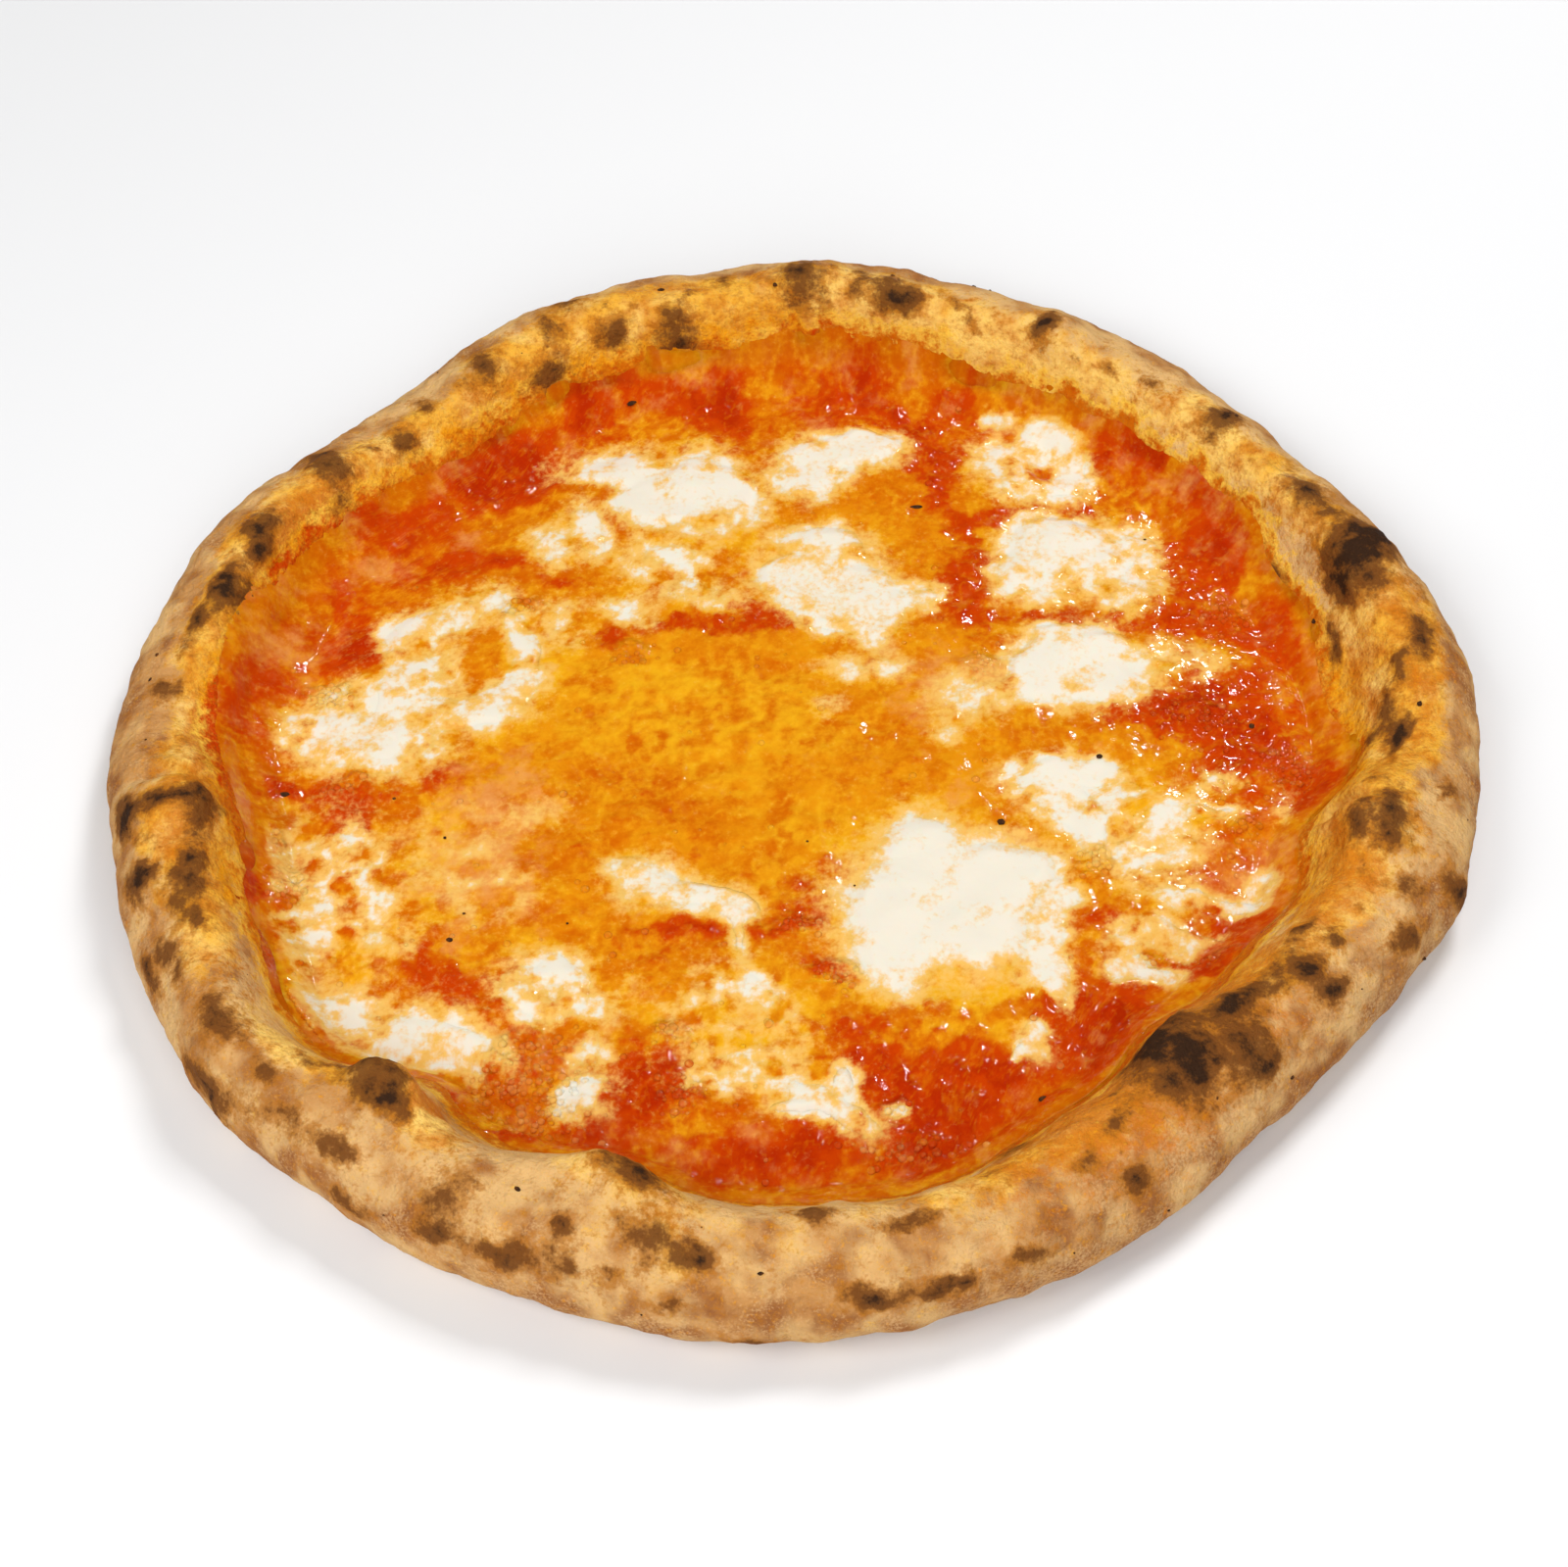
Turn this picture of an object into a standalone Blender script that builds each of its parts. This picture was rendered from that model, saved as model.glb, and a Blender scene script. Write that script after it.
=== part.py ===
"""Margherita pizza: one baked dough with a puffed rim, a bed of sauce and pieces of melted mozzarella.

Metres, +Z up. The origin is at the centre of the flat base and the pizza rests on z = 0.
Directions around the pizza are in degrees, counted from +X towards +Y.
"""

import math

import bmesh
import bpy

MM = 0.001

# Driving dimensions
OUTER_RADIUS = 155 * MM        # centre to the outer side of the rim
RIM_HEIGHT = 22 * MM           # base to the crest of the rim
RIM_OUTER_RUN = 17 * MM        # outer side to crest, measured level
RIM_INNER_RUN = 17 * MM        # crest to foot, measured level
FLOOR_HEIGHT = 3 * MM          # thickness of the dough under the sauce
SAUCE_LEVEL = 5 * MM           # top of the sauce in the middle
CHEESE_THICKNESS = 2.2 * MM    # a melted piece of mozzarella at its thickest
CHEESE_EDGE = 0.25             # height of a piece's edge above its underside, as a share of its thickness
GAP = 0.35 * MM                # clearance between touching bodies
MERGE_DISTANCE = 0.05 * MM     # points of a turned section closer than this become one

# Finishes: base colour and roughness
DOUGH_FINISH = ((0.62, 0.38, 0.16), 0.75)
SAUCE_FINISH = ((0.70, 0.13, 0.01), 0.3)
CHEESE_FINISH = ((0.93, 0.87, 0.74), 0.35)

# Section of the plain, even rim, which is turned first and made uneven afterwards
SLOPE_SHARES = (0.0, 0.17, 0.34, 0.5, 0.66, 0.83, 1.0)
SLOPE_POWER = 0.9              # below 1 the slope rises sooner behind the foot
FLOOR_SHARES = (0.0, 0.5, 0.85)        # rings on the floor, as shares of the foot's radius
CLIMB_SHARES = (0.34, 0.67, 1.0)       # rings of the sauce up the slope, as shares of its climb
BULGE_SHARE = 0.42             # height of the outermost point as a share of the rim's height
BASE_INSET = 9 * MM            # from the outer side to the edge of the flat base
BASE_SHARE = 0.6               # the one ring within the base, as a share of the foot's radius

# Mesh fineness
RIM_STEPS = 108                # facets around the dough and the sauce
UPPER_STEPS = 5                # facets from the crest down to the outermost point
LOWER_STEPS = 3                # facets from there to the base
CHEESE_STEPS = 16              # facets around one piece of mozzarella
CHEESE_RINGS = 6               # facets from its top to its underside

# Unevenness around the pizza: (direction, spread in degrees, change in metres)
OUTER_LOBES = (
    (3, 12, 3.6 * MM), (34, 20, -4.4 * MM), (85, 9, 2.0 * MM), (108, 10, 2.0 * MM),
    (134, 12, -5.6 * MM), (153, 9, 1.6 * MM), (180, 14, 1.8 * MM), (218, 16, 2.6 * MM),
    (260, 20, 2.2 * MM), (314, 20, -7.4 * MM), (341, 7, 3.0 * MM),
)
OUTER_RUN_LOBES = (
    (35, 20, -2.0 * MM), (188, 7, 3.0 * MM), (215, 8, -5.0 * MM), (229, 5, 6.0 * MM),
    (251, 8, 7.0 * MM), (268, 8, 2.0 * MM), (295, 9, 4.0 * MM), (310, 6, 6.0 * MM),
    (327, 9, 4.0 * MM), (343, 6, 9.0 * MM),
)
HEIGHT_LOBES = (
    (20, 6, 2.0 * MM), (38, 14, -2.0 * MM), (85, 7, 2.4 * MM), (106, 8, 1.2 * MM),
    (133, 9, -3.0 * MM), (177, 6, -2.0 * MM), (189, 6, 3.6 * MM), (228, 6, 2.0 * MM),
    (252, 8, 2.2 * MM), (309, 7, 2.0 * MM), (343, 5, 3.0 * MM), (353, 5, -3.0 * MM),
)

# How far the sauce climbs the inner slope of the rim: share of the run from foot to crest
SAUCE_CLIMB = 0.34
SAUCE_CLIMB_LOBES = (
    (38, 26, 0.26), (85, 10, 0.14), (140, 10, 0.16), (168, 14, 0.34), (225, 20, -0.20),
    (262, 30, -0.16), (310, 26, -0.16), (353, 6, 0.16),
)

# Thickness of the sauce from the middle to its edge, as shares of the full bed
SAUCE_THINNING = (1.0, 1.0, 1.0, 0.9, 0.7, 0.5, 0.3)

# The edge of a piece of mozzarella swings in and out in two waves; the place of the piece, taken as
# an angle, starts them, so that no two outlines are alike
COARSE_LOBES = 3
FINE_LOBES = 5
FINE_LOBE_SHARE = 0.5          # depth of the fine wave as a share of the coarse one

# Mozzarella: name, centre (x, y), half length, half width, turn in degrees, lobe depth
CHEESE_PIECES = (
    ("front_right_large", 33, -45, 22, 22, 12, 0.08),
    ("front_right_arm", 59, -63, 19, 6, 76, 0.10),
    ("middle_streak", -24, -42, 18, 5, -28, 0.12),
    ("right_upper", 58, 20, 25, 12, 14, 0.12),
    ("right_back", 71, 52, 22, 13, -8, 0.10),
    ("middle_back", 18, 49, 22, 16, -22, 0.12),
    ("back_right_ring", 60, 89, 15, 14, 0, 0.08),
    ("back_middle", 17, 91, 16, 8, 12, 0.12),
    ("back_left_large", -33, 84, 26, 12, -8, 0.16),
    ("back_left_small", -55, 63, 9, 8, 0, 0.08),
    ("middle_left_pale", -26, 56, 17, 10, 8, 0.12),
    ("left_large", -84, 28, 31, 24, 38, 0.14),
    ("left_front", -108, -37, 21, 12, 100, 0.12),
    ("front_left_long", -88, -75, 24, 11, -22, 0.14),
    ("front_left_small", -55, -66, 11, 10, 0, 0.10),
    ("right_lacy", 61, -15, 14, 10, -14, 0.14),
    ("right_front_lacy", 88, -37, 19, 11, -48, 0.14),
    ("front_right_edge", 77, -62, 12, 6, 14, 0.10),
    ("front_middle", 4, -99, 12, 7, -24, 0.12),
    ("front_middle_pale", -14, -80, 14, 13, 20, 0.14),
)


def bell(direction, centre, spread):
    """A smooth bump that is 1 at its centre and fades out over the spread, all in degrees."""
    away = (direction - centre + 180) % 360 - 180
    return math.exp(-((away / spread) ** 2))


def lobed(direction, base, lobes):
    """A base value with the change of every lobe added to it."""
    return base + sum(change * bell(direction, centre, spread) for centre, spread, change in lobes)


def rim(direction):
    """Foot, crest and outer radius of the rim and its height, in one direction."""
    outer = lobed(direction, OUTER_RADIUS, OUTER_LOBES)
    crest = outer - lobed(direction, RIM_OUTER_RUN, OUTER_RUN_LOBES)
    foot = crest - RIM_INNER_RUN
    height = lobed(direction, RIM_HEIGHT, HEIGHT_LOBES)
    return foot, crest, outer, height


def inner_slope(share):
    """Height share of the slope between the foot (0) and the crest (1)."""
    return 0.5 - 0.5 * math.cos(math.pi * share ** SLOPE_POWER)


def rim_section():
    """Radius and height of the turned section, from the middle of the floor round to the base."""
    foot = OUTER_RADIUS - RIM_OUTER_RUN - RIM_INNER_RUN
    crest = OUTER_RADIUS - RIM_OUTER_RUN
    bulge = BULGE_SHARE * RIM_HEIGHT
    points = [(foot * share, FLOOR_HEIGHT) for share in FLOOR_SHARES]
    for share in SLOPE_SHARES:
        height = FLOOR_HEIGHT + (RIM_HEIGHT - FLOOR_HEIGHT) * inner_slope(share)
        points.append((foot + RIM_INNER_RUN * share, height))
    for step in range(1, UPPER_STEPS + 1):
        turn = math.pi / 2 * step / UPPER_STEPS
        rise = (RIM_HEIGHT - bulge) * math.cos(turn)
        points.append((crest + RIM_OUTER_RUN * math.sin(turn), bulge + rise))
    for step in range(1, LOWER_STEPS + 1):
        turn = math.pi / 2 * step / LOWER_STEPS
        inset = BASE_INSET * (1 - math.cos(turn))
        points.append((OUTER_RADIUS - inset, bulge * (1 - math.sin(turn))))
    points.append((foot * BASE_SHARE, 0.0))
    points.append((0.0, 0.0))
    return points


def between(value, knots, results):
    """Straight-line reading of results at a value that lies between two knots."""
    for low, high, first, last in zip(knots, knots[1:], results, results[1:]):
        if value <= high:
            return first + (last - first) * (value - low) / (high - low)
    return results[-1]


def floor_under(radius, direction):
    """Top of the dough at a place inside the crest."""
    foot, crest, _, height = rim(direction)
    share = min(max((radius - foot) / (crest - foot), 0.0), 1.0)
    slope = between(share, SLOPE_SHARES, [inner_slope(value) for value in SLOPE_SHARES])
    return FLOOR_HEIGHT + (height - FLOOR_HEIGHT) * slope


def sauce_section(direction):
    """Radii of the sauce's rings and its thickness at each: level in the middle, thin up the slope."""
    foot, crest, _, _ = rim(direction)
    climb = (crest - foot) * lobed(direction, SAUCE_CLIMB, SAUCE_CLIMB_LOBES)
    radii = [foot * share for share in FLOOR_SHARES] + [foot]
    radii += [foot + climb * share for share in CLIMB_SHARES]
    full = SAUCE_LEVEL - FLOOR_HEIGHT - GAP
    return radii, [full * share for share in SAUCE_THINNING]


def sauce_top(radius, direction):
    """Surface of the sauce at a place."""
    radii, thicknesses = sauce_section(direction)
    heights = [floor_under(ring, direction) + GAP + thick for ring, thick in zip(radii, thicknesses)]
    return between(radius, radii, heights)


def material(name, colour, roughness):
    """A plain Principled material from a base colour and a roughness."""
    result = bpy.data.materials.new(name)
    result.use_nodes = True
    shader = result.node_tree.nodes["Principled BSDF"]
    shader.inputs["Base Color"].default_value = (*colour, 1.0)
    shader.inputs["Roughness"].default_value = roughness
    shader.inputs["Metallic"].default_value = 0.0
    return result


def add_object(name, mesh, collection, finish):
    """Put a mesh in the pizza's collection, smooth shaded and with its material."""
    mesh.name = name
    mesh.materials.clear()
    mesh.materials.append(finish)
    mesh.shade_smooth()
    result = bpy.data.objects.new(name, mesh)
    collection.objects.link(result)
    return result


def turned_mesh(points, steps):
    """Turn a section about Z with a Screw modifier and return the mesh."""
    corners = [(radius, 0.0, height) for radius, height in points]
    edges = [(index, index + 1) for index in range(len(points) - 1)]
    section = bpy.data.meshes.new("section")
    section.from_pydata(corners, edges, [])
    holder = bpy.data.objects.new("section", section)
    bpy.context.scene.collection.objects.link(holder)
    screw = holder.modifiers.new("turn", "SCREW")
    screw.axis = "Z"
    screw.steps = steps
    screw.render_steps = steps
    screw.use_merge_vertices = True
    screw.merge_threshold = MERGE_DISTANCE
    bpy.context.view_layer.update()
    evaluated = holder.evaluated_get(bpy.context.evaluated_depsgraph_get())
    result = bpy.data.meshes.new_from_object(evaluated)
    bpy.data.objects.remove(holder)
    return result


def reshape(mesh, move):
    """Move every vertex: the function takes radius, direction and height and returns radius and height."""
    for vertex in mesh.vertices:
        radius = math.hypot(vertex.co.x, vertex.co.y)
        direction = math.degrees(math.atan2(vertex.co.y, vertex.co.x))
        radius, height = move(radius, direction, vertex.co.z)
        turn = math.radians(direction)
        vertex.co = (radius * math.cos(turn), radius * math.sin(turn), height)
    mesh.update()


def make_dough(collection):
    """The baked dough: a flat base, a thin floor and the uneven puffed rim, in one solid."""
    foot = OUTER_RADIUS - RIM_OUTER_RUN - RIM_INNER_RUN
    even = (0.0, foot, OUTER_RADIUS - RIM_OUTER_RUN, OUTER_RADIUS)

    def uneven(radius, direction, height):
        rim_foot, rim_crest, rim_outer, rim_height = rim(direction)
        new_radius = between(radius, even, (0.0, rim_foot, rim_crest, rim_outer))
        if height > FLOOR_HEIGHT:
            stretch = (rim_height - FLOOR_HEIGHT) / (RIM_HEIGHT - FLOOR_HEIGHT)
            height = FLOOR_HEIGHT + (height - FLOOR_HEIGHT) * stretch
        return new_radius, height

    mesh = turned_mesh(rim_section(), RIM_STEPS)
    reshape(mesh, uneven)
    return add_object("dough", mesh, collection, material("baked dough", *DOUGH_FINISH))


def make_sauce(collection):
    """The tomato sauce: a thin bed on the floor that climbs the foot of the rim."""
    rings = range(len(SAUCE_THINNING))
    upper, lower = 1.0, 0.0
    top = [(float(ring), upper) for ring in rings]
    bottom = [(float(ring), lower) for ring in reversed(rings)]

    def lay(ring, direction, side):
        radii, thicknesses = sauce_section(direction)
        place = round(ring)
        height = floor_under(radii[place], direction) + GAP
        if round(side) == upper:
            height += thicknesses[place]
        return radii[place], height

    mesh = turned_mesh(top + bottom, RIM_STEPS)
    reshape(mesh, lay)
    return add_object("sauce", mesh, collection, material("tomato sauce", *SAUCE_FINISH))


def make_cheese(name, x, y, half_length, half_width, turn, lobe_depth, collection, finish):
    """One melted piece of mozzarella: a flattened ball with a lobed edge, lying on the sauce."""
    body = bmesh.new()
    bmesh.ops.create_uvsphere(body, u_segments=CHEESE_STEPS, v_segments=CHEESE_RINGS, radius=1.0)
    for vertex in body.verts:
        angle = math.atan2(vertex.co.y, vertex.co.x)
        coarse = math.sin(COARSE_LOBES * angle + x)
        fine = math.sin(FINE_LOBES * angle + y)
        lobes = 1.0 + lobe_depth * (coarse + FINE_LOBE_SHARE * fine)
        along = vertex.co.x * lobes * half_length * MM
        across = vertex.co.y * lobes * half_width * MM
        heading = math.radians(turn)
        place_x = x * MM + along * math.cos(heading) - across * math.sin(heading)
        place_y = y * MM + along * math.sin(heading) + across * math.cos(heading)
        radius = math.hypot(place_x, place_y)
        direction = math.degrees(math.atan2(place_y, place_x))
        half = 1 - CHEESE_EDGE if vertex.co.z > 0 else CHEESE_EDGE
        rise = CHEESE_THICKNESS * (CHEESE_EDGE + half * vertex.co.z)
        vertex.co = (place_x, place_y, sauce_top(radius, direction) + GAP + rise)
    mesh = bpy.data.meshes.new(name)
    body.to_mesh(mesh)
    body.free()
    return add_object("mozzarella_" + name, mesh, collection, finish)


def centre_on_base(pieces):
    """Shift all pieces so that the middle of the dough's outline stands over the origin."""
    corners = [pieces[0].matrix_world @ vertex.co for vertex in pieces[0].data.vertices]
    middle_x = (min(corner.x for corner in corners) + max(corner.x for corner in corners)) / 2
    middle_y = (min(corner.y for corner in corners) + max(corner.y for corner in corners)) / 2
    for piece in pieces:
        piece.location = (-middle_x, -middle_y, 0.0)


def main():
    for old in list(bpy.data.objects):
        bpy.data.objects.remove(old)
    collection = bpy.data.collections.new("margherita_pizza")
    bpy.context.scene.collection.children.link(collection)
    pieces = [make_dough(collection), make_sauce(collection)]
    white = material("mozzarella", *CHEESE_FINISH)
    for piece in CHEESE_PIECES:
        pieces.append(make_cheese(*piece, collection, white))
    centre_on_base(pieces)


main()
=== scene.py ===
"""The looks of the margherita pizza: baked crust, tomato sauce, melted mozzarella, froth and burnt crumbs.

Metres, +Z up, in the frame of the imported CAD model. Directions are in degrees from +X towards +Y.
A "turn" on the rim is the angle round its section: 90 is the crest, 0 the outer side, 180 the inner slope.
"""
import itertools
import math

import bmesh
import bpy
import numpy as np
from mathutils import Matrix, Vector
from mathutils.bvhtree import BVHTree


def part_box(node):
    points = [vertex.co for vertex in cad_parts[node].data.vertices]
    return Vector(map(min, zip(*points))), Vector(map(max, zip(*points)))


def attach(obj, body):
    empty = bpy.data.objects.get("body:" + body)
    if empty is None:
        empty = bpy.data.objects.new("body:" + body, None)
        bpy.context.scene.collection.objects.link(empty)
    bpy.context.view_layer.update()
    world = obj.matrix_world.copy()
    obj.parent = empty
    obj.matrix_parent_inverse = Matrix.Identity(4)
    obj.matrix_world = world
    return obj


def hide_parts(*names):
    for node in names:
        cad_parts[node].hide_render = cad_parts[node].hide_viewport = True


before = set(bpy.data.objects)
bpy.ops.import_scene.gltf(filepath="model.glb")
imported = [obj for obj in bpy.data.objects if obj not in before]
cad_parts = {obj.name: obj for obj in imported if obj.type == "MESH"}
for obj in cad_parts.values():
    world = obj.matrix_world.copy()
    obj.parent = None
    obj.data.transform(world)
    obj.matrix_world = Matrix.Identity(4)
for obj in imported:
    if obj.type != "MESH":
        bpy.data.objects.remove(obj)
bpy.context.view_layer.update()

MM = 0.001
BODY = "root"

# ---------------------------------------------------------------- sizes

AROUND = 820                   # columns of the crust's skin, round the pizza
ACROSS = 100                   # rows of the crust's skin, from the base over the crest to the foot
BASE_TURN = -75                # first row, under the rim
FOOT_TURN = 200                # last row, where the slope meets the floor
TUBE_HEIGHT = 8 * MM           # height of the middle of the rim's section
SMOOTH_AROUND = 4.5            # blur that rounds the CAD facets, in columns and rows
SMOOTH_ACROSS = 2.2
SAUCE_GRID = 298               # squares along one side of the sauce's grid
PATCH_STEP = 0.55 * MM         # squares of a piece of mozzarella
FROTH_SEED = 11
CRUMB_SEED = 5
BLISTER_SEED = 23


# ---------------------------------------------------------------- number helpers

def smoothstep(value, low, high):
    """0 below low, 1 above high and a smooth ramp between them."""
    share = np.clip((value - low) / (high - low), 0, 1)
    return share * share * (3 - 2 * share)


class GradientNoise:
    """Smooth noise in space, roughly -1 to 1."""

    def __init__(self, seed):
        draw = np.random.default_rng(seed)
        self.order = np.tile(draw.permutation(256), 2)
        slopes = draw.normal(size=(256, 3))
        self.slopes = slopes / np.linalg.norm(slopes, axis=1)[:, None]

    def __call__(self, points, size):
        place = points / size
        cell = np.floor(place).astype(int)
        inside = place - cell
        ease = inside ** 3 * (inside * (inside * 6 - 15) + 10)
        total = np.zeros(len(points))
        depths = (0, 1) if points[:, 2].any() else (0,)
        for corner in itertools.product((0, 1), (0, 1), depths):
            index = (cell + corner) & 255
            first = self.order[index[:, 0]] + index[:, 1]
            slope = self.slopes[self.order[self.order[first] + index[:, 2]]]
            weight = np.where(corner, ease, 1 - ease).prod(axis=1)
            total += weight * ((inside - corner) * slope).sum(axis=1)
        return total * 1.7

    def layered(self, points, size, layers=3, gain=0.5):
        """Noise of one size with finer and weaker layers on it."""
        total = sum(gain ** n * self(points + 17.0 * n * size, size / 2 ** n) for n in range(layers))
        return total / math.sqrt(sum(gain ** (2 * n) for n in range(layers)))


WARP_X, WARP_Y, LUMPS, GRAIN, MOTTLE = (GradientNoise(seed) for seed in (1, 2, 3, 4, 6))


def flat_points(x, y):
    return np.stack([x, y, np.zeros_like(x)], axis=1)


def full_stroke(stroke):
    """A stroke with its turn of 0 and its strength of 1 filled in where they are left out."""
    return tuple(stroke) + (0, 1)[len(stroke) - 4:]


def stroke_sum(along, across, strokes, hardness=3.0):
    """Sum of soft ellipses: (middle, middle, half length, half width, turn in degrees, strength)."""
    total = np.zeros_like(along)
    for stroke in strokes:
        x, y, half_x, half_y, turn, strength = full_stroke(stroke)
        heading = math.radians(turn)
        away_x, away_y = along - x, across - y
        u = (away_x * math.cos(heading) + away_y * math.sin(heading)) / half_x
        v = (away_y * math.cos(heading) - away_x * math.sin(heading)) / half_y
        total += strength * np.exp(-0.693 * np.hypot(u, v) ** hardness)
    return total


def blur(values, spread, axis, around):
    """Gaussian blur along one axis; around says that the axis closes on itself."""
    reach = int(math.ceil(3 * spread))
    offsets = np.arange(-reach, reach + 1)
    weights = np.exp(-0.5 * (offsets / spread) ** 2)
    weights /= weights.sum()
    padding = [(0, 0)] * values.ndim
    padding[axis] = (reach, reach)
    padded = np.pad(values, padding, mode="wrap" if around else "edge")
    size = values.shape[axis]
    return sum(w * np.take(padded, np.arange(size) + o + reach, axis=axis) for w, o in zip(weights, offsets))


# ---------------------------------------------------------------- reading the frame

def node_tree(name):
    """A ray-casting tree of one CAD node."""
    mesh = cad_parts[name].data
    corners = [vertex.co.copy() for vertex in mesh.vertices]
    return BVHTree.FromPolygons(corners, [tuple(face.vertices) for face in mesh.polygons])


def heights_below(tree, x, y, missing):
    """Height of the first surface under each place, or the missing value."""
    down, top = Vector((0, 0, -1)), 0.1
    found = np.full(len(x), missing)
    for index, (px, py) in enumerate(zip(x.tolist(), y.tolist())):
        hit = tree.ray_cast(Vector((px, py, top)), down)[0]
        if hit is not None:
            found[index] = hit.z
    return found


DOUGH = node_tree("dough")
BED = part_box("sauce")[1].z        # only a ceiling for the sauce; its real top is read below
OUTLINE = max(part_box("dough")[1].x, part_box("dough")[1].y)
FLOOR = DOUGH.ray_cast(Vector((0, 0, 0.1)), Vector((0, 0, -1)))[0].z
SAUCE_TOP = node_tree("sauce").ray_cast(Vector((0, 0, 0.1)), Vector((0, 0, -1)))[0].z


def crest_radii(directions):
    """Radius of the rim's highest line in each direction, read from the CAD dough."""
    radii = np.linspace(0.76, 0.97, 40) * OUTLINE
    x = np.outer(np.cos(directions), radii).ravel()
    y = np.outer(np.sin(directions), radii).ravel()
    heights = heights_below(DOUGH, x, y, 0.0).reshape(len(directions), -1)
    highest = radii[heights.argmax(axis=1)]
    return blur(highest, 6, 0, True)


def sauce_edge_knots():
    """Radius of the sauce's edge in every whole direction, read from the CAD sauce."""
    corners = np.array([vertex.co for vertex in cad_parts["sauce"].data.vertices])
    radii = np.hypot(corners[:, 0], corners[:, 1])
    directions = np.degrees(np.arctan2(corners[:, 1], corners[:, 0]))
    knots = np.zeros(360)
    for whole in range(360):
        near = np.abs((directions - whole + 180) % 360 - 180) < 2.2
        knots[whole] = radii[near].max()
    return blur(knots, 1.5, 0, True)


SAUCE_EDGE = sauce_edge_knots()

# Where the rim stays bare further in than the CAD sauce, and where the sauce reaches further out:
# direction, spread in degrees, change in mm
EDGE_SHIFTS = ((46, 16, -2.5), (3, 9, -6.5), (342, 7, -2.5), (20, 5, -3.0), (200, 5, 1.5), (302, 6, 1.5), (228, 4, -1.5))


def sauce_edge(directions):
    """Radius of the sauce's edge, with the small tongues of a spooned sauce."""
    whole = np.degrees(directions) % 360
    radius = np.interp(whole, np.arange(361), np.append(SAUCE_EDGE, SAUCE_EDGE[0]))
    ring = np.stack([np.cos(directions), np.sin(directions), np.zeros_like(directions)], axis=1) * 0.12
    for middle, spread, change in EDGE_SHIFTS:
        away = (whole - middle + 180) % 360 - 180
        radius = radius + change * MM * np.exp(-(away / spread) ** 2)
    return radius + 1.4 * MM * LUMPS.layered(ring, 14 * MM, 2)


# ---------------------------------------------------------------- toppings: where each colour lies

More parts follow.
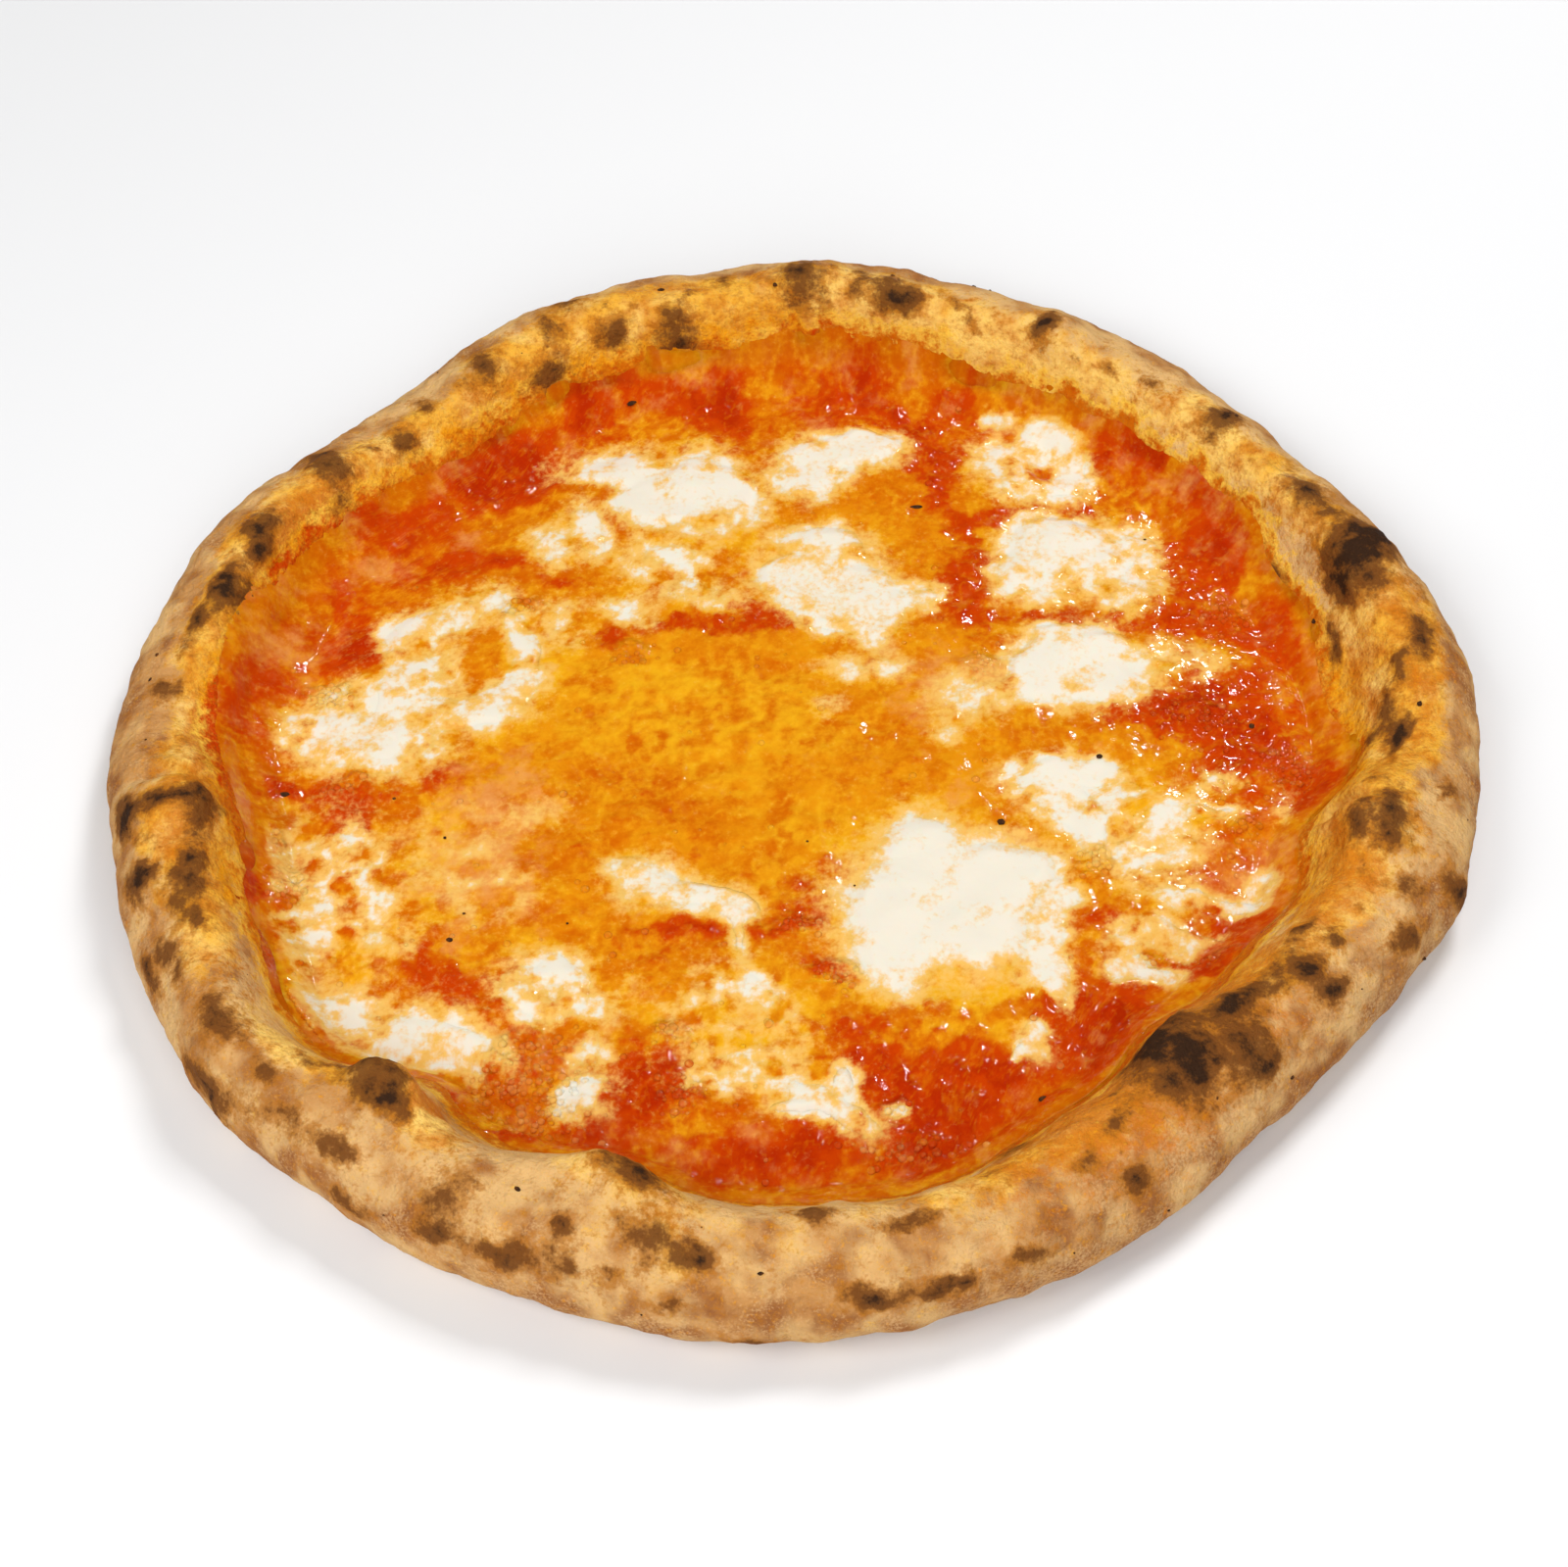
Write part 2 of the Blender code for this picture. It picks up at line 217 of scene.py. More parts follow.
# Patches of melted mozzarella: thickness in mm, how lacy and how white it is, then soft ellipses in mm
# (x, y, half length, half width, turn in degrees, strength)
MOZZARELLA = {
    "front_right_large": (1.1, 0.25, 1.15, (
        (31, -48, 19, 16), (27, -31, 7, 9), (19, -62, 6, 8), (45, -40, 8, 8), (40, -58, 8, 6),
        (52, -37, 5, 5, 0, .7), (17, -50, 5, 9))),
    "front_right_arm": (0.7, 0.4, 1.0, (
        (57, -46, 4.5, 4), (53, -55, 4, 7), (51, -65, 6, 6), (54, -71, 3, 5), (49, -76, 4, 4, 0, -.8),
        (49, -84, 3, 5), (46, -88, 2.5, 2))),
    "right_lacy": (0.5, 0.75, 0.9, (
        (56, -13, 6, 4), (63, -10, 8, 3.5), (70, -12, 4, 3), (60, -19, 6, 5), (65, -24, 5, 6),
        (66, -31, 3, 4), (76, -17, 3, 3), (65, -22, 1.5, 1.5, 0, -.7))),
    "right_front_lacy": (0.6, 0.75, 0.7, (
        (83, -27, 6, 6), (78, -33, 6, 3), (74, -36, 3, 4), (84, -34, 5, 2), (80, -42, 5, 3),
        (86, -49, 8, 2.5, -10), (97, -51, 4, 2), (95, -16, 4, 3), (94, -24, 4, 1.5),
        (105, -45, 5, 3, 0, .6), (112, -23, 3, 4, 0, .5))),
    "front_right_edge": (0.6, 0.5, 0.7, (
        (76, -57, 5, 4), (83, -60, 5, 3), (69, -62, 3, 5), (71, -67, 4, 2.5), (78, -69, 4, 2),
        (90, -60, 3, 1.5), (75, -63, 4, 2.5, 0, -.5))),
    "front_middle": (0.9, 0.7, 0.8, (
        (1, -97, 7, 3, -30), (7, -93, 2, 3), (9, -103, 6, 2.5, -40), (-5, -99, 4, 1.5), (18, -102, 2, 1.5, 0, .7))),
    "middle_streak": (0.8, 0.4, 0.9, (
        (-35, -37, 6, 6), (-26, -41, 8, 3.5, -12), (-17, -44, 6, 3, -25), (-13, -46, 3, 3),
        (-14, -52, 1.5, 4, 0, .7), (-14, -59, 1.5, 5, 0, .5), (-40, -32, 4, 3, 0, .5))),
    "left_front": (0.5, 0.8, 0.68, (
        (-106, -35, 12, 18, 10, .42), (-105, -22, 5, 3, 0, .6), (-117, -23, 4, 3, 0, .5), (-97, -32, 3, 4, 0, .7),
        (-96, -38, 3, 4, 0, .6), (-114, -41, 5, 4, 0, .8), (-104, -38, 6, 3, 0, .3), (-115, -52, 4, 5, 0, .6),
        (-94, -50, 6, 3, 0, .5), (-76, -28, 8, 11, 20, .32), (-67, -40, 6, 5, 0, .32), (-60, -16, 7, 4, 0, .25))),
    "front_left_long": (0.7, 0.65, 0.88, (
        (-95, -73, 18, 10, -15, .4), (-107, -70, 7, 6, 0, .9), (-112, -66, 3, 4, 0, .6), (-98, -75, 6, 5, 0, .8),
        (-87, -76, 6, 4, 0, .9), (-80, -78, 6, 4, 0, .9), (-73, -80, 6, 4, -25, .8), (-67, -83, 4, 2, -25, .7))),
    "front_left_small": (0.8, 0.7, 0.8, (
        (-62, -65, 4, 6, 30), (-57, -71, 5, 3, -20, .8), (-55, -60, 4, 4), (-50, -66, 3, 5), (-45, -68, 8, 6, 0, .3),
        (-47, -82, 3, 7, 0, .7), (-46, -93, 4, 4, 0, .8), (-52, -95, 3, 3, 0, .6))),
    "front_middle_pale": (0.4, 0.9, 0.47, (
        (-14, -78, 13, 13, 0, .3), (-17, -88, 6, 3, 0, .6), (-8, -90, 5, 2.5, 0, .7), (-25, -72, 4, 4, 0, .4),
        (-12, -66, 3, 3, 0, .6), (-6, -72, 2, 5, 20, .5), (-20, -66, 2, 4, -20, .4))),
    "left_large": (0.8, 0.65, 0.82, (
        (-110, 12, 7, 7, 0, .8), (-103, 9, 8, 6), (-93, 6, 9, 6), (-91, 18, 6, 8), (-91, 30, 6, 8), (-90, 41, 6, 5),
        (-82, 45, 8, 4, 0, .8), (-73, 51, 6, 4, 0, .8), (-66, 44, 3, 4, 0, .8), (-63, 34, 3, 6), (-63, 25, 4, 5),
        (-69, 18, 7, 5), (-78, 15, 7, 5), (-105, 22, 4, 4, 0, .6), (-71, 30, 5, 4, 20, -.5), (-80, 29, 4, 5, 0, .5),
        (-97, 0, 6, 2, 0, .6), (-55, 42, 7, 6, 0, .5))),
    "back_left_small": (0.5, 0.6, 0.9, ((-57, 68, 4, 5), (-49, 75, 4, 6), (-46, 68, 3, 4))),
    "back_left_large": (0.9, 0.6, 1.0, (
        (-38, 96, 5, 5), (-43, 92, 6, 3), (-50, 95, 6, 5, 0, .8), (-30, 86, 9, 7), (-20, 90, 6, 7),
        (-18, 78, 7, 7), (-12, 85, 5, 7), (-28, 78, 7, 4), (-36, 82, 5, 5), (-8, 78, 4, 6, 0, .6),
        (-50, 87, 8, 3, 0, -.8), (-52, 96, 2, 2, 0, -.5), (-30, 94, 3, 2, 0, -.5))),
    "middle_left_pale": (0.4, 0.75, 0.72, (
        (-33, 63, 6, 6, 0, .6), (-25, 64, 6, 4, 0, .8), (-24, 53, 5, 4, 0, .7), (-18, 49, 8, 2.5, -15, .7),
        (-20, 56, 2, 2, 0, -.5), (-42, 48, 4, 3, 0, .7), (-37, 44, 4, 4, 0, .6))),
    "back_middle": (0.9, 0.5, 0.95, (
        (6, 90, 6, 8), (12, 95, 8, 5), (18, 98, 7, 5), (25, 97, 6, 5), (20, 102, 3, 3), (8, 85, 7, 4, 0, .6))),
    "back_right_ring": (0.8, 0.6, 0.85, (
        (58, 90, 4, 9), (62, 81, 6, 4), (72, 82, 4, 5), (74, 90, 3, 6), (68, 96, 5, 4), (64, 99, 3, 4),
        (50, 92, 5, 6, 0, .5), (66, 85, 4, 3, 0, -.6), (66, 91, 4, 3, 0, .5), (53, 106, 2, 2, 0, .6),
        (57, 105, 2, 2, 0, .6), (68, 105, 4, 2, 0, .4))),
    "middle_back": (1.0, 0.5, 0.88, (
        (8, 55, 12, 8), (0, 55, 5, 5), (13, 64, 6, 5), (5, 50, 7, 6), (15, 44, 8, 6), (20, 51, 5, 4),
        (23, 42, 5, 6), (20, 36, 5, 4), (10, 41, 6, 4), (31, 47, 4, 3, 0, .5), (34, 44, 3, 4, 0, .5),
        (17, 46, 4, 1.2, 20, -.4), (18, 40, 3, 1.5, 0, -.4), (5, 66, 8, 4, 0, .5), (15, 24, 8, 3, 0, .5),
        (24, 24, 4, 4, 0, .4), (8, 12, 3, 3, 0, .4))),
    "right_back": (1.0, 0.5, 0.95, (
        (62, 64, 6, 6), (70, 65, 7, 4), (66, 55, 9, 9), (60, 52, 6, 7, 0, .6), (75, 57, 7, 7, 0, .6), (82, 50, 8, 8, 0, .45),
        (86, 62, 4, 5, 0, .5), (82, 42, 5, 4, 0, .6), (53, 51, 4, 7, 0, .5), (90, 55, 2, 7, 0, .5), (74, 52, 1.5, 2, 0, -.5))),
    "right_upper": (1.0, 0.5, 1.0, (
        (68, 22, 12, 8), (63, 28, 6, 5), (75, 27, 5, 4), (60, 16, 9, 5), (75, 14, 6, 5), (56, 20, 4, 5),
        (67, 33, 8, 2, 0, .5), (42, 13, 8, 6, 0, .6), (90, 21, 9, 5, 0, .5), (90, 17, 3, 2, 0, -.3),
        (36, 3, 4, 3, 0, .5))),
}

# Deep tomato red
RED = (
    (-72, 95, 10, 8, 0, 1.3), (-80, 92, 5, 6), (-70, 88, 6, 4), (-62, 98, 5, 8), (-95, 75, 12, 3.5, 20),
    (-50, 120, 4, 8), (-47, 112, 4, 6), (-40, 122, 5, 4), (-20, 118, 10, 6), (-12, 108, 4, 10), (-85, 62, 8, 4),
    (-68, 63, 6, 4), (-122, 26, 6, 4, 0, 1.3), (-130, 14, 3, 8), (-108, 52, 2, 6), (-105, 40, 5, 6),
    (-105, 35, 8, 3), (-54, 56, 6, 3), (-42, 35, 4, 4), (-30, 40, 6, 2), (-20, 41, 6, 3), (-8, 41, 6, 4),
    (12, 115, 5, 8), (22, 120, 4, 9), (27, 113, 4, 8), (33, 106, 5, 5), (36, 95, 4, 10), (40, 85, 3, 10),
    (45, 72, 6, 4), (55, 71, 8, 2), (72, 72, 5, 2), (53, 116, 4, 3), (45, 112, 4, 3), (86, 90, 7, 4, 0, 1.3),
    (92, 87, 3, 4), (85, 100, 4, 4), (78, 105, 3, 4), (43, 45, 6, 12, 0, 1.3), (48, 60, 4, 5), (60, 38, 10, 3),
    (80, 36, 12, 2.5), (100, 50, 8, 8), (107, 55, 4, 6), (105, 72, 5, 8), (95, 32, 10, 3), (115, 28, 6, 8),
    (90, 8, 12, 6, 0, 1.3), (80, 5, 8, 3), (100, 12, 8, 6), (-5, 38, 6, 4), (-2, -42, 8, 6), (3, -50, 6, 3),
    (7, -64, 6, 4, 0, 1.3), (20, -93, 10, 8, 0, 1.3), (13, -88, 5, 6), (30, -95, 10, 6), (25, -105, 8, 5),
    (45, -90, 12, 4), (60, -80, 8, 9), (70, -75, 5, 6), (65, -52, 6, 3), (90, -66, 10, 3), (98, -58, 8, 5),
    (88, -69, 6, 1.5, 0, 1.3), (22, -112, 10, 6), (100, -8, 5, 4), (110, -5, 4, 8), (118, -18, 6, 6),
    (97, -2, 10, 5), (0, -105, 4, 4), (-3, -110, 8, 5), (-126, -33, 3, 7, 0, 1.4), (-124.5, -45, 2.5, 10, 0, 1.2),
    (-120, -58, 2.5, 6, 0, 1.2), (-104, -9, 6, 4), (-100, -18, 3, 6), (-80, -3, 5, 3), (-118, -6, 5, 1.5, 0, 1.5),
    (-83, -57, 3, 6), (-76, -66, 6, 4), (-33, -90, 8, 8, 0, 1.3), (-38, -95, 8, 6), (-48, -103, 8, 4),
    (-25, -50, 8, 3), (-30, -52, 8, 2.5), (-8, -52, 5, 3), (-75, -95, 2, 5, 0, 1.3), (-67, -104, 5, 2),
    (-20, -110, 10, 5), (-36, -10, 8, 6, 0, .6),
)

# Yellow oil
YELLOW = (
    (-35, 12, 15, 8), (-20, 5, 20, 12), (-30, 22, 10, 5), (-8, 15, 15, 8), (-62, 35, 5, 5), (-55, 30, 6, 5),
    (-15, 68, 8, 4), (-42, 108, 6, 6), (20, -28, 10, 4), (35, -22, 6, 4), (5, -25, 8, 8), (30, -70, 10, 5),
    (40, -72, 8, 4), (35, -80, 12, 6), (75, -24, 5, 5), (92, -27, 4, 3), (0, -75, 8, 6), (-15, -80, 14, 10),
    (-100, -56, 10, 6), (-78, -12, 6, 6), (-83, -30, 3, 10), (-65, -53, 10, 4), (85, 75, 6, 5),
)

# Peach: milk of the cheese mixed into the sauce
PEACH = (
    (-72, -30, 14, 20, 0, .9), (-65, -8, 12, 8, 0, .7), (-118, 35, 10, 8, 0, .6), (-100, 65, 6, 5, 0, .7),
    (-78, 70, 6, 4, 0, .7), (12, 105, 8, 5, 0, .7), (40, -15, 10, 5, 0, .7), (40, 22, 12, 5, 0, .8),
    (28, 12, 8, 10, 0, .6), (50, -30, 8, 3, 0, .7), (95, 105, 15, 8, 0, .6), (110, 75, 8, 15, 0, .5),
    (100, -40, 8, 10, 0, .6), (-14, -106, 6, 4, 0, .6), (-38, -108, 8, 4, 0, .5), (-55, -82, 8, 8, 0, .6),
)

# Foam that glitters: (x, y, half length, half width, turn, share of full foam)
FROTH = (
    (-60, -93, 14, 12), (-2, -51, 6, 2.5), (7, -65, 6, 3.5), (90, -66, 8, 2), (114, -12, 6, 8), (94, 4, 7, 4),
    (-115, -34, 4, 5), (-119, -55, 2, 4), (-118, -20, 2, 3), (-108, 23, 4, 4), (-63, 48, 5, 3), (-38, 31, 5, 3),
    (45, 23, 4, 3), (103, 35, 5, 6), (66, -37, 4, 4), (101, -30, 4, 4), (-30, -78, 4, 3), (-62, -80, 5, 3),
    (18, -101, 3, 2), (75, -65, 4, 2), (-110, 23, 5, 4), (-28, -94, 6, 5), (20, -110, 12, 3), (-104, -6, 6, 3),
)


PULP_SIZE = 3.6 * MM


def milk_fields(flat, along, across):
    """How much white cheese lies at a place, torn into strands and curds at its edges."""
    curds = WARP_Y.layered(flat, 8 * MM, 4, 0.65)
    web = 0.55 - 1.6 * np.abs(GRAIN.layered(flat, 12 * MM, 3, 0.55))
    white = np.zeros_like(along)
    for _, lace, level, strokes in MOZZARELLA.values():
        total = np.clip(stroke_sum(along, across, strokes, 3.2 - 1.8 * lace), 0, None)
        body = 1.25 * total / (0.75 + total)
        torn = (0.15 + 1.2 * lace) * smoothstep(body, 0.05, 0.5) * (1 - 0.8 * smoothstep(total, 1.0, 2.0))
        white = np.maximum(white, level * body + torn * (0.5 * curds + 0.5 * web))
    rim_share = np.hypot(flat[:, 0], flat[:, 1]) / sauce_edge(np.arctan2(flat[:, 1], flat[:, 0]))
    return white - 0.9 * smoothstep(rim_share + 0.02 * curds, 0.955, 0.995)


def topping_fields(x, y):
    """Shares of red, yellow, peach, white, froth, veins of oil and light orange at places on the toppings."""
    flat = flat_points(x, y)
    warp_x = 2.6 * WARP_X.layered(flat, 11 * MM, 3, 0.6)
    warp_y = 2.6 * WARP_Y.layered(flat, 11 * MM, 3, 0.6)
    along, across = x / MM + warp_x, y / MM + warp_y
    loose_along = along + 4.5 * LUMPS.layered(flat, 14 * MM, 3, 0.6)
    loose_across = across + 4.5 * GRAIN.layered(flat, 14 * MM, 3, 0.6)
    mottle = MOTTLE.layered(flat, 18 * MM, 4, 0.65)
    pulp = GRAIN.layered(flat, PULP_SIZE, 2, 0.6)
    threads = 0.5 - 1.5 * np.abs(WARP_X.layered(flat, 9 * MM, 3, 0.65))
    curds = LUMPS.layered(flat, 8 * MM, 4, 0.65)
    rim_share = np.hypot(x, y) / sauce_edge(np.arctan2(y, x))
    white = milk_fields(flat, along, across)
    pools = np.clip(stroke_sum(loose_along, loose_across, RED, 2.0), 0, 1.3)
    red = 0.85 * pools
    red += 0.45 * mottle + 0.38 * pulp + 0.30 * smoothstep(rim_share, 0.6, 0.9)
    red -= 0.7 * smoothstep(rim_share + 0.02 * curds, 0.96, 1.0) * (1 - 0.8 * np.clip(pools, 0, 1))
    yellow = 0.4 * np.clip(stroke_sum(loose_along, loose_across, YELLOW, 2.0), 0, 1.3) + 1.0 * threads - 0.3 * mottle
    yellow += 0.35 * smoothstep(white, 0.02, 0.2)
    peach = 0.8 * stroke_sum(loose_along, loose_across, PEACH, 2.0) + 0.55 * curds - 0.15
    peach += 0.3 * smoothstep(white, 0.05, 0.25) + 0.25 * smoothstep(rim_share, 0.8, 0.95)
    fields = {
        "red": red * (1 - 0.7 * smoothstep(white, 0.2, 0.6)),
        "yellow": yellow,
        "peach": peach,
        "white": white,
        "froth": stroke_sum(along, across, FROTH),
        "oil": 0.75 - 2.6 * np.abs(WARP_Y.layered(flat, 6 * MM, 4, 0.65)) + 0.3 * curds,
        "light": 0.55 + 0.5 * MOTTLE.layered(flat, 7 * MM, 4, 0.65) + 0.45 * WARP_Y.layered(flat, 24 * MM, 3, 0.6) - 0.35 * smoothstep(rim_share, 0.5, 0.9),
    }
    return {name: np.clip(values, 0, 1.5) for name, values in fields.items()}


# ---------------------------------------------------------------- rim: where it is burnt, golden or stained, with painted shade low on its outer side

# (direction, turn, half width, half height, slant, strength), all in degrees
CHAR = (
    (3.2, 76, 1.4, 8, 0, 1.2), (5.4, 66, 1.0, 7, 0, .8), (0.8, 100, 1.1, 6, 0, .75), (8.8, 168, .9, 10, -1, 1), (14, 95, 2.6, 18, 0, 1.15), (16.5, 66, 2.2, 22, 0, 1.1),
    (13, 122, 1.8, 12, 0, .8), (22, 174, 2.2, 6), (24.5, 80, 2.1, 12), (38, 78, 1.6, 17), (47, 88, 1, 8, 0, .55),
    (52, 102, .8, 4, 0, .6), (60.3, 84, .9, 17), (77, 96, 1.7, 12, 0, 1.2), (80.5, 75, .8, 10, 0, .6), (87, 85, 1.6, 20),
    (94.5, 75, .8, 10, 0, .6), (100.8, 142, 1.7, 16), (108, 115, 1.2, 12, 0, .8), (100.5, 112, 1.0, 9, 0, .7),
    (116, 138, 1.6, 14), (114, 90, .7, 14, 0, .65), (111, 65, 1.2, 9, 0, .7), (122.5, 90, 1.2, 14), (135, 105, 1.3, 16, 0, .75),
    (130, 80, 1.0, 11, 0, .6), (145, 128, .9, 11, 0, .8), (143.3, 88, 1.2, 16), (142, 55, .9, 16, 0, .8),
    (156, 108, .9, 6), (154, 92, 1.9, 11), (161.7, 94, 2.1, 7, 0, 1.2), (162, 112, 1.8, 7, 0, .75), (166.5, 85, 1.4, 7, 0, .8),
    (174.5, 70, 1.0, 12, 0, .8), (169.5, 82, .9, 5, 0, .7), (189.8, 88, .9, 30, 0, 1.0), (189.5, 43, 1.2, 8, 0, 1.4),
    (192.5, 100, 1.6, 10, 0, .7), (196.5, 90, .9, 6, 0, 1.1), (199.3, 88, 1.3, 9), (196.5, 46, 1.2, 11, 0, 1.4),
    (200.5, 72, 1.3, 8, 0, .7), (203, 86, 1.2, 6, 0, .6), (204, 52, 1.5, 8, 0, .65), (204.5, 27, 1.7, 7, 0, .85),
    (207, 62, 1.5, 7, 0, .5), (213.5, 80, 2.1, 11, 0, .9), (216.5, 30, 2.8, 11, 0, .9), (218, 10, 1.2, 8, 0, .6),
    (220.5, 70, .9, 8, 0, .8), (226.8, 104, 2.0, 9, 0, 1.1), (230.8, 92, 1.3, 7), (229, 84, 2.2, 7, 0, .65), (224, 45, 1.4, 8, 0, .65),
    (229.5, 42, 1.9, 6, 0, .7), (239.5, 55, 1.8, 14, 0, .6), (240, 30, 1.2, 6, 0, .85), (245.5, 27, 1.9, 7),
    (249.5, 50, .7, 7, 0, .75), (250.5, 28, 1.1, 6, 0, .7), (253.8, 102, 2.2, 10, 0, 1.1), (257, 60, 2.6, 10, 0, .6),
    (261, 52, .9, 7, 0, .7), (258.5, 22, 1.3, 4, 0, .6), (232, 15, 1.8, 6, 0, .6), (254, 30, .8, 5, 0, .5),
    (269.8, 95, 1.3, 9, 0, .9), (265, 0, 1.8, 5, 0, .6), (277.5, 79, 1.8, 5, 0, .75), (273.5, 30, 1.6, 6, 0, 1.1),
    (279, 28, 1.9, 5, 0, 1.1), (286, 28, 1.4, 5, 0, .7), (296.5, 37, 1.1, 7, 0, .8), (289, 150, 1.0, 20, 0, .7),
    (298, 80, 1.4, 7, 0, .7), (305.3, 107, 2.6, 24, 0, 1.35), (309.5, 106, 1.6, 7, 0, .6), (306.3, 70, 2.0, 15, 0, 1.3), (311.3, 52, 1.9, 13),
    (313, 86, 1.8, 9), (317, 85, 2.8, 8, 0, .8), (312, 38, 1.4, 5, 0, .6), (321.8, 70, 1.2, 14), (322, 42, 1.2, 5, 0, .9),
    (326, 93, 1.5, 5), (326.5, 68, .8, 7, 0, .9), (331, 28, 1.4, 6, 0, .85), (335, 48, .9, 7, 0, .6),
    (338, 14, 1.0, 12, 0, 1.3), (339, 72, 1.4, 12, 0, .7), (342, 76, 1.5, 9, 0, 1.1), (339.8, 99, 1.6, 6, 0, 1.0), (353.2, 102, 1.7, 9, 0, 1.2),
    (354.5, 138, 1.0, 14, 0, .6), (347, 42, 1.1, 5, 0, .6), (357, 120, 1.6, 12, 0, .6), (293, 62, 1.2, 6, 0, .45),
)

# Golden, oily dough round the burns and on the inner slope
GOLD = (
    (4, 110, 9, 55), (24, 88, 6, 22), (39, 95, 6, 26), (60, 125, 16, 36, 0, .9), (78, 105, 7, 28), (90, 110, 9, 40, 0, .8),
    (107, 120, 10, 35), (126, 130, 12, 30), (142, 105, 8, 30), (156, 100, 9, 22), (170, 105, 8, 22, 0, .8),
    (193, 85, 7, 30, 0, 1.1), (202, 90, 4, 20, 0, .8), (222, 98, 6, 14, 0, .8), (231, 100, 5, 16, 0, 1.1),
    (252, 115, 4.5, 25, 0, 1.1), (259, 45, 5, 22, 0, .7), (284, 105, 8, 18, 0, .4),
    (297, 95, 6, 22, 0, .7), (306, 108, 6, 24, 0, .6), (315, 105, 9, 22, 0, .5), (326, 85, 7, 25, 0, .9),
    (340, 85, 8, 28, 0, 1.0), (352, 95, 7, 30, 0, 1.0), (344, 140, 8, 25, 0, .8),
)

# Dough baked to a deep amber
AMBER_PLACES = (
    (304, 105, 13, 48, 0, 1.4), (150, 122, 10, 30, 0, 1.1), (2, 78, 9, 22, 0, .7), (0, 150, 9, 22, 0, .55), (178, 132, 9, 28, 0, 1.2), (335, 98, 9, 30, 0, .8),
    (92, 140, 8, 22, 0, .7), (120, 120, 7, 22, 0, .6), (193, 88, 5, 26, 0, .7), (253.5, 106, 3.6, 18), (231.8, 118, 2.6, 24, 0, 1.3), (16, 96, 5, 24, 0, .6),
)

# Dough that stayed pale
PALE_PLACES = (
    (57, 128, 24, 44, 0, 1.4), (20, 140, 10, 26, 0, 1.0), (230, 60, 22, 30, 0, .3), (268, 125, 15, 34, 0, 1.2),
    (243, 118, 6, 34, 0, 1.3), (213, 115, 8, 30, 0, .6), (320, 70, 12, 25, 0, .4),
)

# Turn where the tomato stain on the inner slope begins, by direction
STAIN_EDGE = (
    (0, 190), (10, 182), (16, 172), (28, 166), (40, 168), (50, 174), (58, 184), (66, 182), (74, 164), (84, 170),
    (92, 182), (98, 188), (106, 158), (118, 160), (132, 158), (146, 160), (158, 146), (168, 132), (178, 124),
    (186, 142), (194, 166), (204, 168), (212, 176), (220, 180), (236, 176), (250, 178), (265, 187), (285, 176),
    (297, 152), (312, 148), (330, 156), (341, 172), (350, 188), (360, 190),
)

# How far the sauce has soaked into the dough beyond its edge, in mm, by direction
SOAKED_REACH = (
    (0, 5.0), (12, 4.0), (22, 4.0), (80, 4.5), (95, 5.0), (120, 7.0), (200, 7.0), (215, 4.0), (250, 4.0),
    (290, 7.0), (320, 7.0), (345, 5.0), (360, 5.0),
)

# Extra swellings and creases of the rim: direction, turn, half width, half height in degrees, height in mm
SWELLINGS = (
    (190, 78, 3.2, 26, 1.4), (197, 72, 3.0, 30, 1.2), (185.6, 92, 1.0, 34, -1.6), (193.6, 88, .8, 22, -.8),
    (178, 100, 6, 30, -.8), (228.5, 108, 3.4, 16, 1.6), (225.0, 112, 1.0, 18, -1.0), (252, 108, 3.5, 18, 1.4),
    (306, 92, 3.2, 22, 1.2), (311.5, 52, 3.0, 18, .9), (343.6, 128, 1.0, 36, -2.2), (341, 92, 3.0, 24, 1.4),
    (352, 100, 4.0, 22, -.8), (15, 82, 4.5, 30, 1.6), (27, 95, 3.5, 18, .7), (77, 92, 3.6, 22, 1.3),
    (87, 84, 3.2, 22, 1.2), (101, 120, 3.4, 30, 1.0), (122, 88, 3.0, 20, 1.0), (143, 84, 3.2, 26, 1.0),
    (155, 92, 3.4, 22, 1.1), (162, 92, 3.2, 18, 1.1), (214, 62, 5, 22, .9), (245, 40, 6, 22, .7), (269, 84, 5, 18, .6),
    (281, 40, 6, 20, .7), (298, 55, 6, 26, .8), (322, 70, 3.4, 24, .8), (331, 40, 4, 20, .7), (38, 80, 4, 22, .9),
    (60, 80, 4, 22, .9), (111, 75, 3.4, 18, .8), (133, 92, 3.4, 18, .8),
)


def ring_strokes(directions, turns, strokes, hardness=3.0):
    """Soft ellipses on the rim, which close round the pizza."""
    total = np.zeros_like(directions)
    for stroke in strokes:
        direction, turn, half_width, half_height, slant, strength = full_stroke(stroke)
        away = (directions - direction + 180) % 360 - 180
        climb = (turns - turn) / half_height
        distance = np.hypot((away - slant * climb) / half_width, climb)
        total += strength * np.exp(-0.693 * distance ** hardness)
    return total


